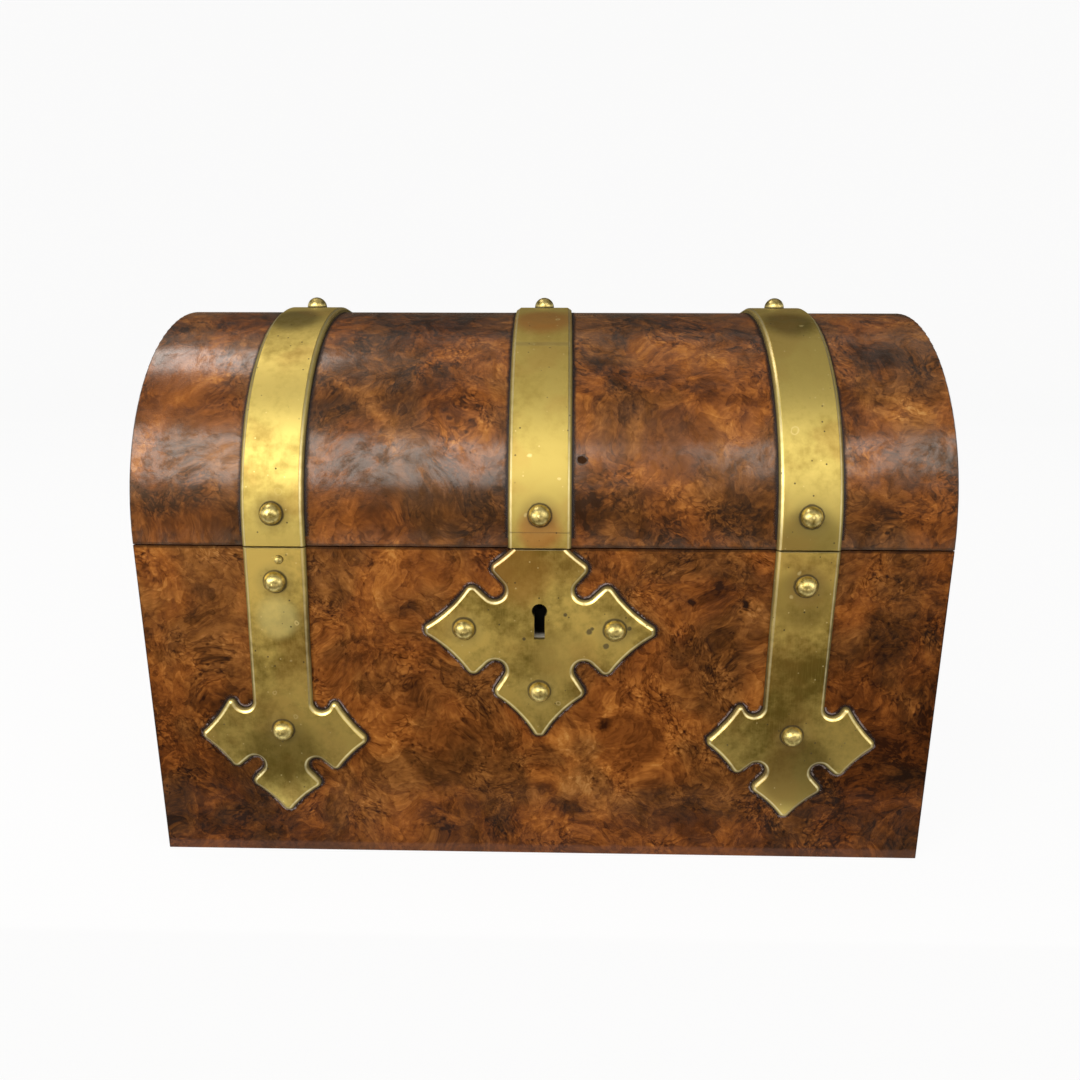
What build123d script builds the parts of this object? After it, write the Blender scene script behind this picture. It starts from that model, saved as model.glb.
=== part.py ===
from build123d import *
import os
from math import cos, degrees, radians, sin, sqrt, tan

# Dome-topped stationery box. Millimetres. X runs along the front, Y to the back, Z up.
# The origin is on the table, under the middle of the box.

# Case and lid, over the veneers
length = 230.0
depth = 124.0
rim_height = 98.0
seam_gap = 0.4
open_angle = 95.0

# Carcass boards and the skins on them
board = 9.1
base_board_t = 6.0
veneer = 0.9
stave_t = 9.1
stave_count = 7
lap = 4.6
arris = 0.5
baize_t = 0.6
baize_inset = 1.5
paper = 0.5
silk = 0.5
lining_gap = 0.6

# Brass strapwork
strap_w = 17.6
strap_t = 1.6
strap_inset = 40.5
strap_back_rise = 5.0
bevel_w = 1.2
bevel_d = 0.8
seam_ease = 0.25
bed_gap = 0.02

# Cross at the foot of each lower strap, in offsets from its centre
cross_drop = 58.6
cross_reach = 24.4
cross_blunt = 0.9
cross_lobe = (15.2, 11.1)
cross_notch = (9.25, 9.25)
cross_notch_r = 2.6
cross_ear = (1.3, 1.8)
cross_neck_r = 2.6
cross_neck_rise = 11.3
cross_hollow = 0.7
cross_leans = (-1.2, -0.7)
cross_corner_ease = 0.1
cross_lobe_ease = 0.6

# Keyhole plate, in offsets from its centre
plate_drop = 24.2
plate_reach = 33.0
plate_blunt = 1.2
plate_lobe = (19.5, 14.7)
plate_top_lobe = (18.9, 14.7)
plate_foot_lobe = (19.5, 13.8)
plate_notch = (12.8, 12.2)
plate_notch_r = 3.0
plate_hollow = 1.2
plate_corner_ease = 0.2
plate_lobe_ease = 0.9

# Studs: head radius, shank radius and length, and where they sit
stud_r = 3.1
shank_r = 0.9
shank_len = 7.5
shank_gap = 0.05
lid_stud_rise = 9.4
upper_stud_drop = 9.8
cross_stud_rise = 2.8
plate_stud_gap = 1.5
plate_stud_drop = 23.5
plate_foot_stud_drop = 42.6
pin_head_r = 1.3
pin_shank_r = 0.5
pin_shift = 1.3
pin_drop = 3.3

# Keyhole
key_drop = 18.0
key_eye_r = 2.2
key_slot_w = 3.0
key_slot_drop = 8.5

# Lock
lock_plate_margin = 6.0
lock_plate_h = 30.0
lock_plate_t = 1.2
selvedge_t = 1.5
selvedge_y = 7.6
lock_case_w = 40.0
lock_case_h = 26.0
lock_case_depth = 6.0
lock_wall = 0.8
mortise_gap = 0.2
drill_pin_r = 0.8
staple_w = 2.4
staple_y = 4.2
staple_len = 9.2
staple_leg = 1.05
staple_foot = 1.1
staple_eye_h = 3.2
staple_side_gap = 0.5
staple_front_gap = 0.6
staple_back_gap = 0.2
link_plate_margin = 1.0
link_plate_t = 1.5
link_plate_y = 5.2
bolt_t = 1.6
bolt_throw = 4.5
bolt_gap = 0.5
bolt_bar_h = 5.4
bolt_end_gap = 0.2
upright_end_gap = 0.7
finger_h = 2.4
finger_clear = 0.3
upright_w = 2.5
guide_r = 1.2
guide_head_r = 1.9
guide_head_t = 0.7
guide_clear = 0.06
guide_wall = 1.1
talon_w = 3.6
talon_h = 1.6
spring_t = 0.5
spring_w = 3.0
spring_foot = 5.0
spring_tip = 3.0
spring_gap = 0.15

# Hinges
hinge_len = 32.0
hinge_inset = 53.0
hinge_leaf_t = 1.2
hinge_leaf_inset = 0.6
knuckle_r = 1.6
knuckle_count = 5
knuckle_gap = 0.2
hinge_pin_r = 0.8
pin_clear = 0.04
groove = 3.0
knuckle_clear = 0.15
pocket_clear = 0.3
hinge_screw_y = 4.1
hinge_screw_pitch = 11.0

# Wood screws
screw_head_r = 1.7
screw_head_h = 0.9
screw_shank_r = 0.8
screw_len = 6.0
screw_gap = 0.05
screw_slot = 0.5
lock_screw_x = 3.0
lock_screw_z = (6.0, 26.0)
link_screw_x = 4.0

# Paper rack
cheek_t = 4.0
cheek_gap = 0.3
divider_t = 3.0
divider_pitch = 26.0
divider_rises = (7.0, 24.0, 38.0)
divider_shoulder = 10.0
groove_depth = 1.5
groove_gap = 0.1
cheek_front = 35.0
cheek_low = 8.0
cheek_rise = 33.0
cheek_crest_y = 36.0
cheek_foot_pull = (20.0, 12.0)
cheek_crest_pull = (31.0, 1.0)
dome_clear = 0.8

# Values that follow from those above
dome_r = depth / 2
dome_z = rim_height + seam_gap
core_r = dome_r - veneer
inner_r = core_r - stave_t
half_l = length / 2
half_d = depth / 2
core_x = half_l - veneer
core_y = half_d - veneer
wall_x = core_x - board
wall_y = core_y - board
walls_z = baize_t + base_board_t
floor_z = walls_z + paper
hinge_y = half_d - groove
hinge_z = rim_height + seam_gap / 2
groove_slope = tan(radians(open_angle / 2))
front_y = -half_d
strap_x = half_l - strap_inset
pin_x = -strap_x + pin_shift
hinge_x = half_l - hinge_inset
strap_r = dome_r + bed_gap
key_z = rim_height - key_drop
plate_stud_x = lock_case_w / 2 + plate_stud_gap
lock_plate_w = lock_case_w + 2 * lock_plate_margin
link_plate_w = lock_case_w + 2 * link_plate_margin
lock_y = -wall_y
works_y = lock_y - lock_plate_t
works_x = lock_case_w / 2 - lock_wall
staple_x = works_x - upright_end_gap - upright_w - bolt_throw - finger_clear - staple_w / 2
staple_back_y = works_y - staple_back_gap
staple_mid_y = staple_back_y - staple_y / 2
eye_z = dome_z - staple_len + staple_foot
bolt_top = dome_z - staple_len - bolt_gap
bolt_x = (-works_x + bolt_end_gap, works_x - bolt_end_gap - bolt_throw)
guide_reach = guide_wall + guide_r + guide_clear
guide_xs = (bolt_x[0] + guide_reach + bolt_throw, bolt_x[1] - guide_reach)
guide_z = bolt_top - bolt_bar_h / 2
cheek_x = wall_x - paper - cheek_gap


def block(x, y, z):
    """A box from its low and high bounds on each axis."""
    size = [high - low for low, high in (x, y, z)]
    middle = [(low + high) / 2 for low, high in (x, y, z)]
    return Pos(*middle) * Box(*size)


def rod(start, direction, radius, height):
    """A round bar from a point, along a direction."""
    return extrude(Plane(origin=start, z_dir=direction) * Circle(radius), height)


def ends(half_thick, centre):
    """The low and high bound of something centred on a value."""
    return (centre - half_thick, centre + half_thick)


def dome_slice(r_in, r_out, x, first_deg=0.0, last_deg=180.0):
    """A bent board: radii about the dome's axis, angles up from the front rim."""
    outline = Plane(origin=(0, 0, dome_z), x_dir=(1, 0, 0), z_dir=(0, 0, 1))
    section = outline * Pos(sum(x) / 2, -(r_in + r_out) / 2) * Rectangle(x[1] - x[0], r_out - r_in)
    axis = Axis((0, 0, dome_z), (-1, 0, 0))
    return revolve(section, axis, last_deg - first_deg).rotate(axis, first_deg)


def half_disc(radius, x):
    """A half-round board that stands on the lid's rim."""
    disc = rod((x[0], 0, dome_z), (1, 0, 0), radius, x[1] - x[0])
    return disc & block(ends(length, 0), ends(depth, 0), (dome_z, dome_z + depth))


def back_groove(z, sign):
    """The wedge planed off a back arris, so that the lid can lean back on its stop."""
    reach = 2 * groove
    points = [
        (hinge_y, z),
        (hinge_y + reach, z),
        (hinge_y + reach, z + sign * reach * groove_slope),
    ]
    face = Plane.YZ * make_face(Polyline(*points, close=True))
    return Pos(-length, 0, 0) * extrude(face, 2 * length, dir=(1, 0, 0))


def screw(at, direction):
    """A slotted countersunk wood screw, its head's face at a point."""
    plane = Plane(origin=at, z_dir=direction)
    head = plane * Pos(0, 0, screw_head_h / 2) * Cone(screw_head_r, screw_shank_r, screw_head_h)
    shank = rod(at, direction, screw_shank_r, screw_len)
    slot = plane * Box(3 * screw_head_r, screw_slot, screw_slot)
    return head + shank - slot


def screw_hole(at, direction):
    """The countersunk hole that a screw sits in."""
    plane = Plane(origin=at, z_dir=direction)
    sink = plane * Pos(0, 0, screw_head_h / 2) * Cone(
        screw_head_r + screw_gap, screw_shank_r + screw_gap, screw_head_h
    )
    return sink + rod(at, direction, screw_shank_r + screw_gap, screw_len + screw_gap)


def stud(at, outward, head_r=stud_r, pin_r=shank_r, pin_len=shank_len):
    """A round-headed stud, the flat under its head at a point."""
    plane = Plane(origin=at, z_dir=outward)
    ball = plane * Sphere(head_r)
    head = ball & (plane * Pos(0, 0, head_r) * Box(4 * head_r, 4 * head_r, 2 * head_r))
    return head + rod(at, [-v for v in outward], pin_r, pin_len)


def stud_hole(at, outward, pin_r=shank_r, pin_len=shank_len):
    """The hole that a stud's shank is driven into."""
    start = [a + strap_t * v for a, v in zip(at, outward)]
    return rod(start, [-v for v in outward], pin_r + shank_gap, strap_t + pin_len + shank_gap)


def less(body, cutters):
    """A body with every cutter taken out of it."""
    for cutter in cutters:
        body -= cutter
    return body


# Where the studs, screws and the keyhole are
def lid_stud_places():
    """Front, crest and back of each of the three lid straps, with the way out."""
    seat = strap_r + strap_t + bed_gap
    lean = lid_stud_rise / seat
    level = sqrt(1 - lean**2)
    ways = [(0, -level, lean), (0, 0, 1), (0, level, lean)]
    return [
        ((x, seat * way[1], dome_z + seat * way[2]), way)
        for x in (-strap_x, 0, strap_x)
        for way in ways
    ]


def front_stud_places(spots):
    """Places on the face of the front brasswork, from (x, drop below the rim)."""
    face = front_y - bed_gap - strap_t
    return [((x, face, rim_height - drop), (0, -1, 0)) for x, drop in spots]


lower_straps = [(-strap_x, cross_leans[0]), (strap_x, cross_leans[1])]
lower_drops = (upper_stud_drop, cross_drop - cross_stud_rise)
lower_studs = front_stud_places(
    [(x + drop * sin(radians(lean)), drop) for x, lean in lower_straps for drop in lower_drops]
)
plate_studs = front_stud_places(
    [(-plate_stud_x, plate_stud_drop), (plate_stud_x, plate_stud_drop), (0, plate_foot_stud_drop)]
)
pin_places = front_stud_places([(pin_x, pin_drop)])
lid_studs = lid_stud_places()
lid_stud_holes = [stud_hole(*place) for place in lid_studs]
front_stud_holes = [stud_hole(*place) for place in lower_studs + plate_studs]
front_stud_holes += [stud_hole(*place, pin_shank_r) for place in pin_places]

hinge_screw_xs = [
    s * hinge_x + n * hinge_screw_pitch for s in (-1, 1) for n in (-1, 0, 1)
]
hinge_case_screws = [((x, hinge_y - hinge_screw_y, rim_height), (0, 0, -1)) for x in hinge_screw_xs]
hinge_lid_screws = [((x, hinge_y - hinge_screw_y, dome_z), (0, 0, 1)) for x in hinge_screw_xs]
lock_screws = [
    ((s * (lock_plate_w / 2 - lock_screw_x), lock_y, rim_height - drop), (0, -1, 0))
    for s in (-1, 1)
    for drop in lock_screw_z
]
link_screws = [
    ((s * (link_plate_w / 2 - link_screw_x), staple_back_y - link_plate_y / 2, dome_z), (0, 0, 1))
    for s in (-1, 1)
]


def keyhole(y):
    """The keyhole as a cutter between two values of Y."""
    plane = Plane(origin=(0, y[1], key_z), x_dir=(1, 0, 0), z_dir=(0, -1, 0))
    slot = Pos(0, -key_slot_drop / 2) * Rectangle(key_slot_w, key_slot_drop)
    return extrude(plane * (Circle(key_eye_r) + slot), y[1] - y[0])


# Case woodwork
def hinge_pocket(z, sign):
    """Room in a rim for both hinges: their leaves' beds and their knuckles."""
    cut = []
    for side in (-1, 1):
        x = ends(hinge_len / 2, side * hinge_x)
        bed_z = sorted((z, z + sign * hinge_leaf_t))
        cut.append(block(x, (wall_y + hinge_leaf_inset, hinge_y), bed_z))
        start = (x[0] - pocket_clear, hinge_y, hinge_z)
        cut.append(rod(start, (1, 0, 0), knuckle_r + pocket_clear, hinge_len + 2 * pocket_clear))
    return cut


def lock_mortise():
    """Room in the front board for the lock: its works, its plate and its selvedge."""
    g = mortise_gap
    works = block(
        ends(lock_case_w / 2 + g, 0),
        (works_y - lock_case_depth - g, lock_y),
        (rim_height - selvedge_t - lock_case_h - g, rim_height),
    )
    plate = block(
        ends(lock_plate_w / 2, 0),
        (works_y, lock_y),
        (rim_height - lock_plate_h, rim_height),
    )
    selvedge = block(
        ends(lock_plate_w / 2, 0),
        (lock_y - selvedge_y, lock_y),
        (rim_height - selvedge_t, rim_height),
    )
    return [works, plate, selvedge]


def base_board():
    return block(ends(core_x, 0), ends(core_y, 0), (baize_t, walls_z))


def long_board(side):
    """A front (-1) or back (1) wall, rebated at both ends for the short walls."""
    y = sorted((side * wall_y, side * core_y))
    wall = block(ends(core_x, 0), y, (walls_z, rim_height))
    rebate_y = sorted((side * wall_y, side * (wall_y + lap)))
    for end in (-1, 1):
        x = sorted((end * wall_x, end * core_x))
        wall -= block(x, rebate_y, (walls_z, rim_height))
    return wall


def front_board():
    wall = less(long_board(-1), lock_mortise())
    wall -= keyhole((front_y, lock_y))
    wall = less(wall, front_stud_holes)
    return less(wall, [screw_hole(*place) for place in lock_screws])


def back_board():
    wall = long_board(1) - back_groove(rim_height, -1)
    wall = less(wall, hinge_pocket(rim_height, -1))
    return less(wall, [screw_hole(*place) for place in hinge_case_screws])


def end_board(side):
    x = sorted((side * wall_x, side * core_x))
    return block(x, ends(wall_y + lap, 0), (walls_z, rim_height))


def long_veneer(side):
    """The skin over a long wall and over the edges of the end skins."""
    y = sorted((side * core_y, side * half_d))
    skin = block(ends(half_l, 0), y, (baize_t, rim_height))
    outer = skin.edges().filter_by(Axis.Z).group_by(Axis.Y)[0 if side < 0 else -1]
    return fillet(outer, arris)


def front_veneer():
    return less(long_veneer(-1) - keyhole((front_y, -core_y)), front_stud_holes)


def back_veneer():
    return long_veneer(1) - back_groove(rim_height, -1)


def end_veneer(side):
    x = sorted((side * core_x, side * half_l))
    return block(x, ends(core_y, 0), (baize_t, rim_height)) - back_groove(rim_height, -1)


def base_baize():
    return block(ends(half_l - baize_inset, 0), ends(half_d - baize_inset, 0), (0, baize_t))


def wall_lining():
    """Paper on all four walls, cut round the lock's plate."""
    z = (floor_z, rim_height - lining_gap)
    tube = block(ends(wall_x, 0), ends(wall_y, 0), z)
    tube -= block(ends(wall_x - paper, 0), ends(wall_y - paper, 0), z)
    window = ends(lock_plate_w / 2 + lining_gap, 0)
    bottom = rim_height - lock_plate_h - lining_gap
    return tube - block(window, (-wall_y, -wall_y + paper), (bottom, rim_height))


def floor_lining():
    return block(ends(wall_x, 0), ends(wall_y, 0), (walls_z, floor_z))


# Brasswork on the front
def swapped(point):
    """A point turned over about the diagonal."""
    return (point[1], point[0])


def touch_point(corner, centre, radius):
    """Where a line from a corner meets a round notch, on the corner's lower side."""
    dx = corner[0] - centre[0]
    dy = corner[1] - centre[1]
    away = sqrt(dx**2 + dy**2)
    along = radius**2 / away
    off = radius * sqrt(away**2 - radius**2) / away
    return (centre[0] + (dx * along + dy * off) / away, centre[1] + (dy * along - dx * off) / away)


def arm_quarter(tip, lobe, next_lobe, notch, notch_r, hollow):
    """Edges from the tip on +X round to the tip on +Y: hollow, lobe, notch, lobe, hollow."""
    touch = touch_point(lobe, notch, notch_r)
    next_touch = swapped(touch_point(next_lobe, swapped(notch), notch_r))
    inmost = tuple(centre - notch_r / sqrt(2) for centre in notch)
    return [
        SagittaArc(tip, lobe, hollow),
        Line(lobe, touch),
        ThreePointArc(touch, inmost, next_touch),
        Line(next_touch, swapped(next_lobe)),
        SagittaArc(swapped(next_lobe), swapped(tip), hollow),
    ]


def rounded(outline, points, radius):
    """An outline with its corners at some points, and at their mirror images, rounded."""
    corners = [
        v
        for v in outline.vertices()
        if any(abs(abs(v.X) - x) < bed_gap and abs(v.Y - y) < bed_gap for x, y in points)
    ]
    return fillet(corners, radius)


def keyhole_plate_outline():
    """A cross of four ogee arms, its top arm cut off by the seam."""
    tip = (plate_reach, plate_blunt)
    upper, lower = [
        arm_quarter(tip, plate_lobe, lobe, plate_notch, plate_notch_r, plate_hollow)
        for lobe in (plate_top_lobe, plate_foot_lobe)
    ]
    right = upper + [edge.mirror(Plane.XZ) for edge in lower]
    right.append(Line(tip, (plate_reach, -plate_blunt)))
    across = [Line((-plate_blunt, y), (plate_blunt, y)) for y in (-plate_reach, plate_reach)]
    cross = make_face(right + across + [edge.mirror(Plane.YZ) for edge in right])
    lobes = [plate_lobe, swapped(plate_top_lobe), (plate_lobe[0], -plate_lobe[1])]
    lobes.append((plate_foot_lobe[1], -plate_foot_lobe[0]))
    tips = [tip, (plate_reach, -plate_blunt), (plate_blunt, -plate_reach)]
    cross = rounded(cross, tips, bevel_w + plate_corner_ease)
    cross = rounded(cross, lobes, bevel_w + plate_lobe_ease)
    below = Rectangle(2 * plate_reach, 2 * plate_reach, align=(Align.CENTER, Align.MAX))
    return cross & (Pos(0, plate_drop) * below)


def lower_strap_outline(lean):
    """A strap whose foot is a cross, leaning about its top end at the seam."""
    half = strap_w / 2
    top = cross_drop + half
    tip = (cross_reach, cross_blunt)
    foot = arm_quarter(tip, cross_lobe, cross_lobe, cross_notch, cross_notch_r, cross_hollow)
    neck = (half + cross_neck_r, cross_neck_rise)
    ear = (neck[0] + cross_neck_r + cross_ear[0], neck[1] + cross_ear[1])
    touch = touch_point(ear, neck, cross_neck_r)
    low = (neck[0] - cross_neck_r * sin(radians(45)), neck[1] - cross_neck_r * cos(radians(45)))
    right = [edge.rotate(Axis.Z, -90) for edge in foot]
    right += [
        Line((cross_reach, -cross_blunt), tip),
        SagittaArc(tip, ear, cross_hollow),
        Line(ear, touch),
        ThreePointArc(touch, low, (half, cross_neck_rise)),
        Line((half, cross_neck_rise), (half, top)),
    ]
    left = [edge.mirror(Plane.YZ) for edge in right]
    closing = [
        Line((half, top), (-half, top)),
        Line((-cross_blunt, -cross_reach), (cross_blunt, -cross_reach)),
    ]
    outline = make_face(right + closing + left)
    lobe = (cross_lobe[0], -cross_lobe[1])
    foot_lobe = (cross_lobe[1], -cross_lobe[0])
    spots = [tip, (tip[0], -tip[1]), (tip[1], -tip[0]), ear]
    outline = rounded(outline, spots, bevel_w + cross_corner_ease)
    outline = rounded(outline, [lobe, foot_lobe], bevel_w + cross_lobe_ease)
    leaning = Pos(0, cross_drop) * Rot(0, 0, lean) * Pos(0, -cross_drop) * outline
    reach = 2 * cross_drop
    return leaning & (Pos(0, cross_drop) * Rectangle(reach, reach, align=(Align.CENTER, Align.MAX)))


def bevelled_plate(outline, x, z):
    """A plate on the front, from an outline about a point, bevelled except at the seam."""
    face_y = front_y - bed_gap
    face = Plane(origin=(x, face_y, z), x_dir=(1, 0, 0), z_dir=(0, -1, 0)) * outline
    plate = extrude(face, strap_t)
    top = plate.faces().sort_by(Axis.Y)[0]
    seam = rim_height - bevel_d / 2
    rim = [edge for edge in top.outer_wire().edges() if edge.bounding_box().min.Z < seam]
    plate = chamfer(rim, bevel_w, bevel_d, reference=top)
    return chamfer(plate.faces().sort_by(Axis.Y)[0].edges().sort_by(Axis.Z)[-1], seam_ease)


def escutcheon_plate():
    plate = bevelled_plate(keyhole_plate_outline(), 0, rim_height - plate_drop)
    plate -= keyhole((front_y - bed_gap - strap_t, front_y))
    return less(plate, front_stud_holes)


def lower_strap(place):
    x, lean = place
    strap = bevelled_plate(lower_strap_outline(lean), x, rim_height - cross_drop)
    return less(strap, front_stud_holes)


def studs(places, *size):
    return [stud(*place, *size) for place in places]


# Lock
def lock_plate():
    """Back plate and selvedge in one, with slots in the selvedge for the staples."""
    plate = block(ends(lock_plate_w / 2, 0), (works_y, lock_y), (rim_height - lock_plate_h, rim_height))
    plate += block(
        ends(lock_plate_w / 2, 0), (lock_y - selvedge_y, lock_y), (rim_height - selvedge_t, rim_height)
    )
    slot_y = (staple_back_y - staple_y - staple_front_gap, works_y)
    for side in (-1, 1):
        slot_x = ends(staple_w / 2 + staple_side_gap, side * staple_x)
        plate -= block(slot_x, slot_y, (rim_height - selvedge_t, rim_height))
    for x, z in [(0, key_z)] + [(x, guide_z) for x in guide_xs]:
        radius = drill_pin_r if x == 0 else guide_r
        plate -= rod((x, works_y, z), (0, 1, 0), radius + shank_gap, lock_plate_t)
    return less(plate, [screw_hole(*place) for place in lock_screws])


def lock_case():
    """Cover over the works, open towards the plate and under the selvedge."""
    z = (rim_height - selvedge_t - lock_case_h, rim_height - selvedge_t)
    y = (works_y - lock_case_depth, works_y)
    case = block(ends(lock_case_w / 2, 0), y, z)
    case -= block(ends(works_x, 0), (y[0] + lock_wall, y[1]), (z[0] + lock_wall, z[1]))
    return case - keyhole((y[0], y[0] + lock_wall))


def lock_drill_pin():
    """Post that the pipe key turns on, riveted through the plate."""
    return rod((0, lock_y, key_z), (0, -1, 0), drill_pin_r, lock_plate_t + lock_case_depth)


def lock_guide_pins():
    """Shouldered rivets that the bolt slides on."""
    bolt_y = ends(bolt_t / 2 + guide_clear, staple_mid_y)
    pins = []
    for x in guide_xs:
        pin = rod((x, lock_y, guide_z), (0, -1, 0), guide_r, lock_y - bolt_y[0] + guide_head_t)
        pin += rod((x, works_y, guide_z), (0, -1, 0), guide_head_r, works_y - bolt_y[1])
        pin += rod((x, bolt_y[0], guide_z), (0, -1, 0), guide_head_r, guide_head_t)
        pins.append(pin)
    return pins


def lock_bolt():
    """Sliding bar with two fingers that enter the staples, shown drawn back."""
    y = ends(bolt_t / 2, staple_mid_y)
    bar_z = (bolt_top - bolt_bar_h, bolt_top)
    bolt = block(bolt_x, y, bar_z)
    finger_z = ends(finger_h / 2, eye_z + staple_eye_h / 2)
    for side in (-1, 1):
        near = side * staple_x - staple_w / 2
        root = near - finger_clear - bolt_throw
        bolt += block((root - upright_w, root), y, (bar_z[0], finger_z[1]))
        bolt += block((root - upright_w, near - bolt_gap), y, finger_z)
    radius = guide_r + guide_clear
    for x in guide_xs:
        slot = Pos(x - bolt_throw / 2, 0) * SlotCenterToCenter(bolt_throw, 2 * radius)
        plane = Plane(origin=(0, y[1], guide_z), x_dir=(1, 0, 0), z_dir=(0, -1, 0))
        bolt -= extrude(plane * slot, bolt_t)
    talon_x = ends(talon_w / 2, -bolt_throw / 2)
    return bolt - block(talon_x, y, (bar_z[0], bar_z[0] + talon_h))


def lock_spring():
    """Leaf spring: its foot against the case's end, its tip under the bolt's edge."""
    half = spring_t / 2
    x = works_x - half
    foot_z = rim_height - selvedge_t - lock_case_h + lock_wall
    tip_z = bolt_top - bolt_bar_h - spring_gap - half
    bend = tip_z - foot_z - spring_foot
    leaf = Pos(x, foot_z + spring_foot / 2) * Rectangle(spring_t, spring_foot)
    leaf += Pos(x - bend - spring_tip / 2, tip_z) * Rectangle(spring_tip, spring_t)
    ring = Circle(bend + half) - Circle(bend - half)
    leaf += Pos(x - bend, tip_z - bend) * (ring & (Pos(bend, bend) * Rectangle(2 * bend, 2 * bend)))
    plane = Plane(origin=(0, staple_mid_y + spring_w / 2, 0), x_dir=(1, 0, 0), z_dir=(0, -1, 0))
    return extrude(plane * leaf, spring_w)


def lock_link_plate():
    """Plate in the lid's front rail, with the two staples that hang into the lock."""
    y = (staple_back_y - link_plate_y, staple_back_y)
    plate = block(ends(link_plate_w / 2, 0), y, (dome_z, dome_z + link_plate_t))
    loop_y = (staple_back_y - staple_y, staple_back_y)
    eye_y = (loop_y[0] + staple_leg, loop_y[1] - staple_leg)
    for side in (-1, 1):
        x = ends(staple_w / 2, side * staple_x)
        plate += block(x, loop_y, (dome_z - staple_len, dome_z))
        plate -= block(x, eye_y, (eye_z, eye_z + staple_eye_h))
    return less(plate, [screw_hole(*place) for place in link_screws])


# Hinges
def hinge_leaf(side, z, sign, own):
    """One leaf of a butt hinge: a plate flush in a rim and its share of the knuckles."""
    start = side * hinge_x - hinge_len / 2
    pitch = hinge_len / knuckle_count
    bed_z = sorted((z, z + sign * hinge_leaf_t))
    leaf = block((start, start + hinge_len), (wall_y + hinge_leaf_inset, hinge_y), bed_z)
    for n in range(knuckle_count):
        low = start + n * pitch
        if n % 2 == own:
            trim = (knuckle_gap / 2 if n > 0 else 0, knuckle_gap / 2 if n < knuckle_count - 1 else 0)
            leaf += rod((low + trim[0], hinge_y, hinge_z), (1, 0, 0), knuckle_r, pitch - sum(trim))
        else:
            leaf -= rod((low, hinge_y, hinge_z), (1, 0, 0), knuckle_r + knuckle_clear, pitch)
    leaf -= rod((start, hinge_y, hinge_z), (1, 0, 0), hinge_pin_r + pin_clear, hinge_len)
    places = hinge_case_screws if sign < 0 else hinge_lid_screws
    return less(leaf, [screw_hole(*place) for place in places])


def hinge_pins():
    starts = [(side * hinge_x - hinge_len / 2, hinge_y, hinge_z) for side in (-1, 1)]
    return [rod(start, (1, 0, 0), hinge_pin_r, hinge_len) for start in starts]


# Paper rack
def divider_place(n):
    """The Y of a divider, counted from the front."""
    return (n - (len(divider_rises) - 1) / 2) * divider_pitch


def cheek_outline():
    """Side of a rack cheek: an ogee that climbs to the back and ducks under the dome."""
    back = wall_y - paper - cheek_gap
    low = rim_height - cheek_low
    high = rim_height + cheek_rise
    front = -cheek_front
    foot = (front, low)
    crest = (cheek_crest_y, high)
    foot_pull = (front + cheek_foot_pull[0], low + cheek_foot_pull[1])
    crest_pull = (cheek_crest_y - cheek_crest_pull[0], high - cheek_crest_pull[1])
    ogee = Bezier(foot, foot_pull, crest_pull, crest)
    rest = Polyline(crest, (back, high), (back, floor_z), (front, floor_z), foot)
    return make_face([ogee] + rest.edges())


def rack_cheek(side):
    """One end of the rack, grooved for the dividers."""
    x = sorted((side * (cheek_x - cheek_t), side * cheek_x))
    start = Plane(origin=(x[0], 0, 0), x_dir=(0, 1, 0), z_dir=(1, 0, 0))
    cheek = extrude(start * cheek_outline(), cheek_t)
    limit = inner_r - silk - dome_clear
    below = block(x, ends(depth, 0), (0, dome_z))
    cheek &= below + rod((x[0], 0, dome_z), (1, 0, 0), limit, cheek_t)
    inner = side * (cheek_x - cheek_t)
    groove_x = sorted((inner, inner + side * groove_depth))
    for n in range(len(divider_rises)):
        y = ends(divider_t / 2 + groove_gap, divider_place(n))
        cheek -= block(groove_x, y, (floor_z, dome_z + depth))
    return cheek


def divider(n):
    """A thin partition whose top edge swells to a crest in the middle."""
    reach = cheek_x - cheek_t + groove_depth - groove_gap
    crest = rim_height + divider_rises[n]
    shoulder = crest - divider_shoulder
    right = Bezier((reach, shoulder), (reach / 2, shoulder), (reach / 3, crest), (0, crest))
    sides = Polyline((-reach, shoulder), (-reach, floor_z), (reach, floor_z), (reach, shoulder))
    outline = make_face([right, right.mirror(Plane.YZ)] + sides.edges())
    back = divider_place(n) + divider_t / 2
    plane = Plane(origin=(0, back, 0), x_dir=(1, 0, 0), z_dir=(0, -1, 0))
    return extrude(plane * outline, divider_t)


# Lid
def lid_end_board(side):
    x = sorted((side * wall_x, side * core_x))
    return half_disc(inner_r - bed_gap, x)


def lid_stave(n):
    """One board of the dome, the first and last of them the rails at the rim."""
    turn = 180 / stave_count
    stave = dome_slice(inner_r, core_r, ends(core_x, 0), n * turn, (n + 1) * turn)
    stave = less(stave, lid_stud_holes)
    if n == 0:
        y = (staple_back_y - link_plate_y, staple_back_y)
        stave -= block(ends(link_plate_w / 2, 0), y, (dome_z, dome_z + link_plate_t))
        stave = less(stave, [screw_hole(*place) for place in link_screws])
    if n == stave_count - 1:
        stave -= back_groove(dome_z, 1)
        stave = less(stave, hinge_pocket(dome_z, 1))
        stave = less(stave, [screw_hole(*place) for place in hinge_lid_screws])
    return stave


def lid_dome_veneer():
    """The skin over the dome and over the edges of the end skins."""
    skin = dome_slice(core_r + bed_gap, dome_r, ends(half_l, 0))
    rims = [e for e in skin.edges().filter_by(GeomType.CIRCLE) if e.radius > dome_r - bed_gap]
    skin = fillet(rims, arris) - back_groove(dome_z, 1)
    return less(skin, lid_stud_holes)


def lid_end_veneer(side):
    x = sorted((side * core_x, side * half_l))
    return half_disc(core_r, x) - back_groove(dome_z, 1)


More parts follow.
